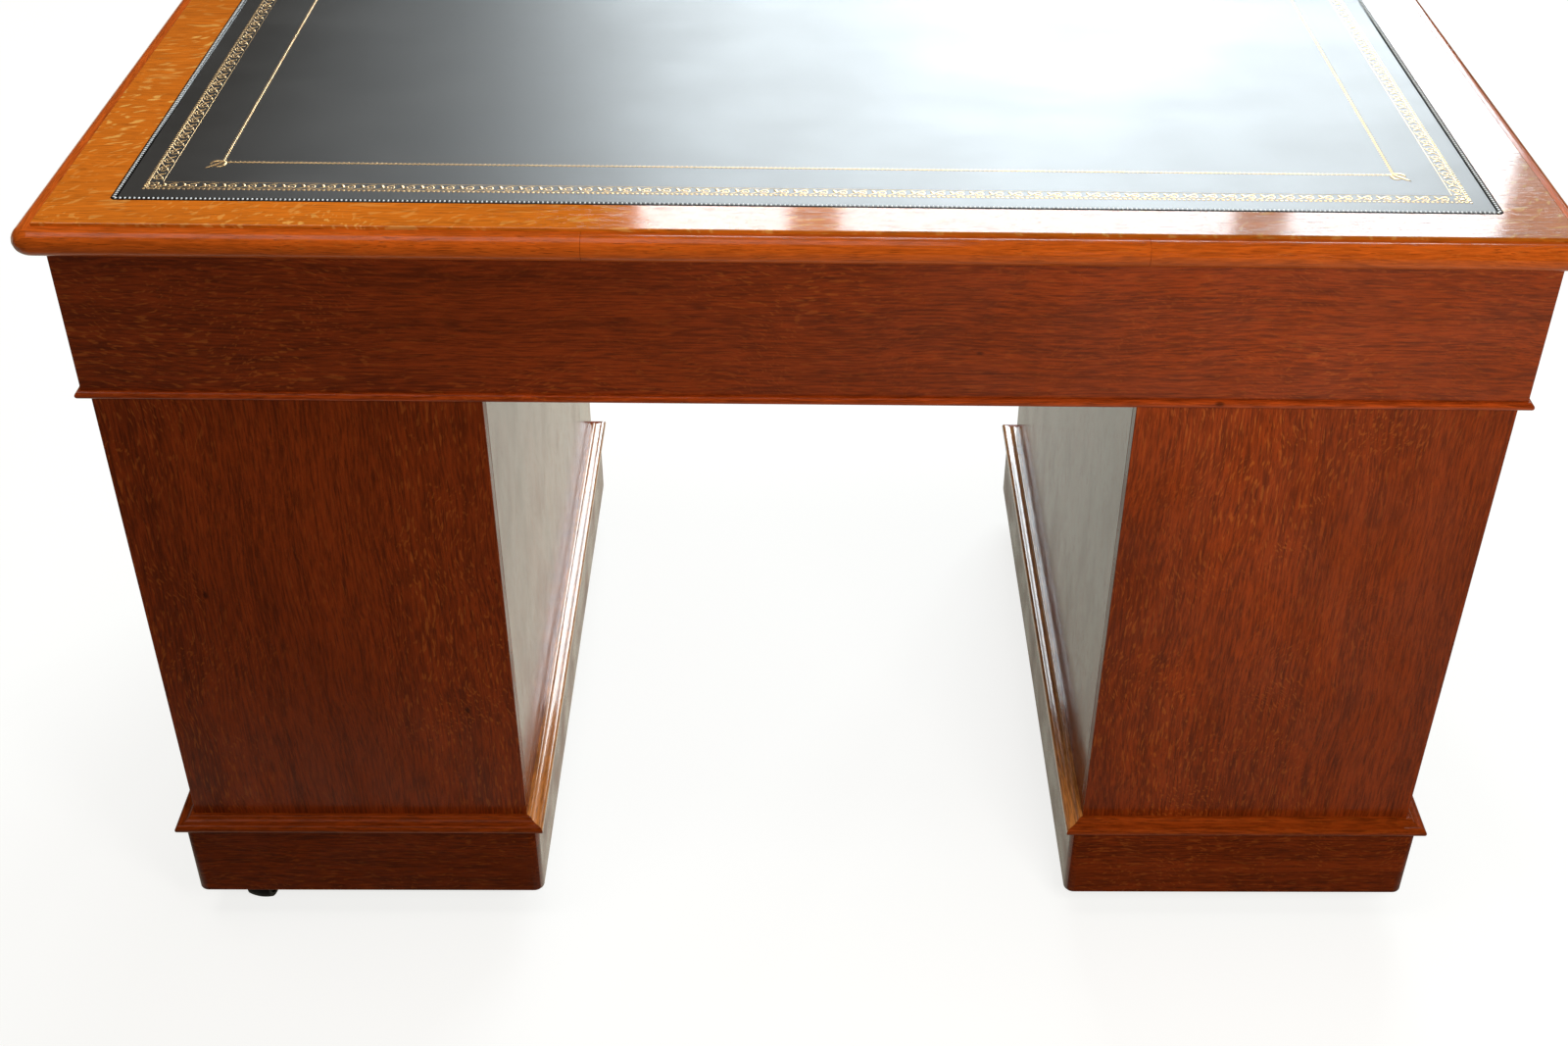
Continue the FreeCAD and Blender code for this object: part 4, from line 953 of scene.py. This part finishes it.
class DESK_OT_build_stage(bpy.types.Operator):
    """Build the pale floor, the window panes, the fill, the surroundings and the camera"""
    bl_idname = "desk.build_stage"
    bl_label = "Build Stage"

    def execute(self, context):
        stage = context.scene.desk_stage
        self.floor(stage)
        for number, (left, right) in enumerate(PANE_ENDS, start=1):
            place = ((left + right) / 2, PANE_BACK, PANE_MIDDLE)
            self.pane(f"window_pane_{number}", stage.window_strength, place,
                      (left - right, PANE_HEIGHT), tint=PANE_TINT)
        self.pane("window_haze", stage.haze_strength, **HAZE)
        self.pane("soft_fill", stage.fill_strength, **SOFT_FILL, mirrored=False)
        self.pane("overhead", stage.lid_strength, **OVERHEAD)
        self.sky(context.scene, stage)
        context.scene.view_settings.view_transform = "Standard"
        data = bpy.data.cameras.new("photo_camera")
        data.sensor_width = SENSOR_WIDTH
        data.lens = stage.lens
        data.shift_x, data.shift_y = stage.shift
        data.dof.use_dof = False
        camera = bpy.data.objects.new("photo_camera", data)
        camera.location = stage.eye
        camera.rotation_euler = stage.turn
        context.scene.collection.objects.link(camera)
        context.scene.camera = camera
        return {"FINISHED"}

    @staticmethod
    def pane(name, strength, place, size, turn=UPRIGHT, tint=LAMP_TINT, mirrored=True):
        """A soft rectangular lamp, whose power is its brightness times its area. The polish
        doesn't mirror a lamp that stands where a viewer would."""
        lamp = bpy.data.lights.new(name, "AREA")
        lamp.shape = "RECTANGLE"
        lamp.size, lamp.size_y = size
        lamp.energy = strength * size[0] * size[1] * math.pi
        lamp.color = tint
        thing = bpy.data.objects.new(name, lamp)
        thing.location = place
        thing.rotation_euler = tuple(math.radians(a) for a in turn)
        thing.visible_camera = False
        thing.visible_glossy = mirrored
        bpy.context.scene.collection.objects.link(thing)

    @staticmethod
    def floor(stage):
        """A flat floor that shows pale to the eye and keeps a soft shadow. For the polish it glows
        as a painted reflection that is warmer, dimmer towards -X in the kneehole and dimmer towards
        +X in front of the back."""
        mesh = bpy.data.meshes.new("pale_floor")
        signs = ((-1, -1), (1, -1), (1, 1), (-1, 1))
        corners = [(FLOOR_HALF * across, FLOOR_HALF * along, 0) for across, along in signs]
        mesh.from_pydata(corners, [], [(0, 1, 2, 3)])
        recipe = Recipe("pale_floor")
        x, y, _ = recipe.places()
        pale = np.array(stage.floor_colour)
        recipe.finish(Base_Color=(*(FLOOR_SHADE * pale), 1.0), Roughness=0.9,
                      Specular_IOR_Level=0.0)
        kinds, seen = recipe.rays()
        # The glow that the polish mirrors is a painted reflection: its share changes with the place
        # on the floor.
        under = recipe.span(x, *UNDER_DESK)
        behind = recipe.span(x, *BEHIND_DESK)
        dimmed = recipe.span(y, *FROM_UNDER_TO_BEHIND, under, behind)
        mirrored = recipe.math("MULTIPLY", kinds["Is Glossy Ray"], dimmed)
        # The glow rises with the distance from the middle, so that no horizon shows.
        squares = (recipe.math("MULTIPLY", part, part) for part in (x, y))
        away = recipe.math("SQRT", recipe.math("ADD", *squares))
        level = recipe.span(away, *TOWARDS_HORIZON)
        glow = recipe.add("ShaderNodeEmission")
        recipe.put(glow.inputs["Color"], recipe.blend(seen, stage.floor_mirrored, tuple(pale)))
        recipe.put(glow.inputs["Strength"],
                   recipe.math("MULTIPLY", recipe.math("MAXIMUM", seen, mirrored), level))
        both = recipe.add("ShaderNodeAddShader")
        recipe.put(both.inputs[0], recipe.shader.outputs[0])
        recipe.put(both.inputs[1], glow.outputs[0])
        recipe.put(recipe.tree.nodes["Material Output"].inputs["Surface"], both.outputs[0])
        mesh.materials.append(recipe.made)
        thing = bpy.data.objects.new("pale_floor", mesh)
        bpy.context.scene.collection.objects.link(thing)

    @staticmethod
    def sky(scene, stage):
        """Even surroundings, white to the eye and dim and warm for the light on the desk."""
        recipe = Recipe("studio", "worlds", "Background")
        _, seen = recipe.rays()
        scene.world = recipe.finish(
            Color=recipe.blend(seen, SKY_TINT, (1.0, 1.0, 1.0)),
            Strength=recipe.math("MAXIMUM", seen, stage.sky_strength))


STEPS = (
    DESK_OT_build_stage,
    DESK_OT_dress_oak,
    DESK_OT_dress_carcass,
    DESK_OT_dress_castors,
    DESK_OT_lay_leather,
    DESK_OT_tool_band,
    DESK_OT_tool_line,
    DESK_OT_mark_edge,
    DESK_OT_set_keyholes,
)


class DESK_PT_dresser(bpy.types.Panel):
    """Lists the steps that dress the desk"""
    bl_idname = "DESK_PT_dresser"
    bl_label = "Desk"
    bl_space_type = "VIEW_3D"
    bl_region_type = "UI"
    bl_category = "Desk"

    def draw(self, context):
        for step in STEPS:
            self.layout.operator(step.bl_idname)
        for key in GROUPS:
            group = getattr(context.scene, key)
            box = self.layout.box()
            for setting in group.__annotations__:
                box.prop(group, setting)


GROUPS = {"desk_finish": DeskFinish, "desk_tooling": DeskTooling, "desk_stage": DeskStage}


def register():
    for thing in (*GROUPS.values(), *STEPS, DESK_PT_dresser):
        bpy.utils.register_class(thing)
    for key, group in GROUPS.items():
        setattr(bpy.types.Scene, key, bpy.props.PointerProperty(type=group))


def unregister():
    for key in GROUPS:
        delattr(bpy.types.Scene, key)
    for thing in reversed((*GROUPS.values(), *STEPS, DESK_PT_dresser)):
        bpy.utils.unregister_class(thing)


def main():
    register()
    for step in STEPS:
        family, verb = step.bl_idname.split(".")
        getattr(getattr(bpy.ops, family), verb)()


if __name__ == "__main__":
    main()
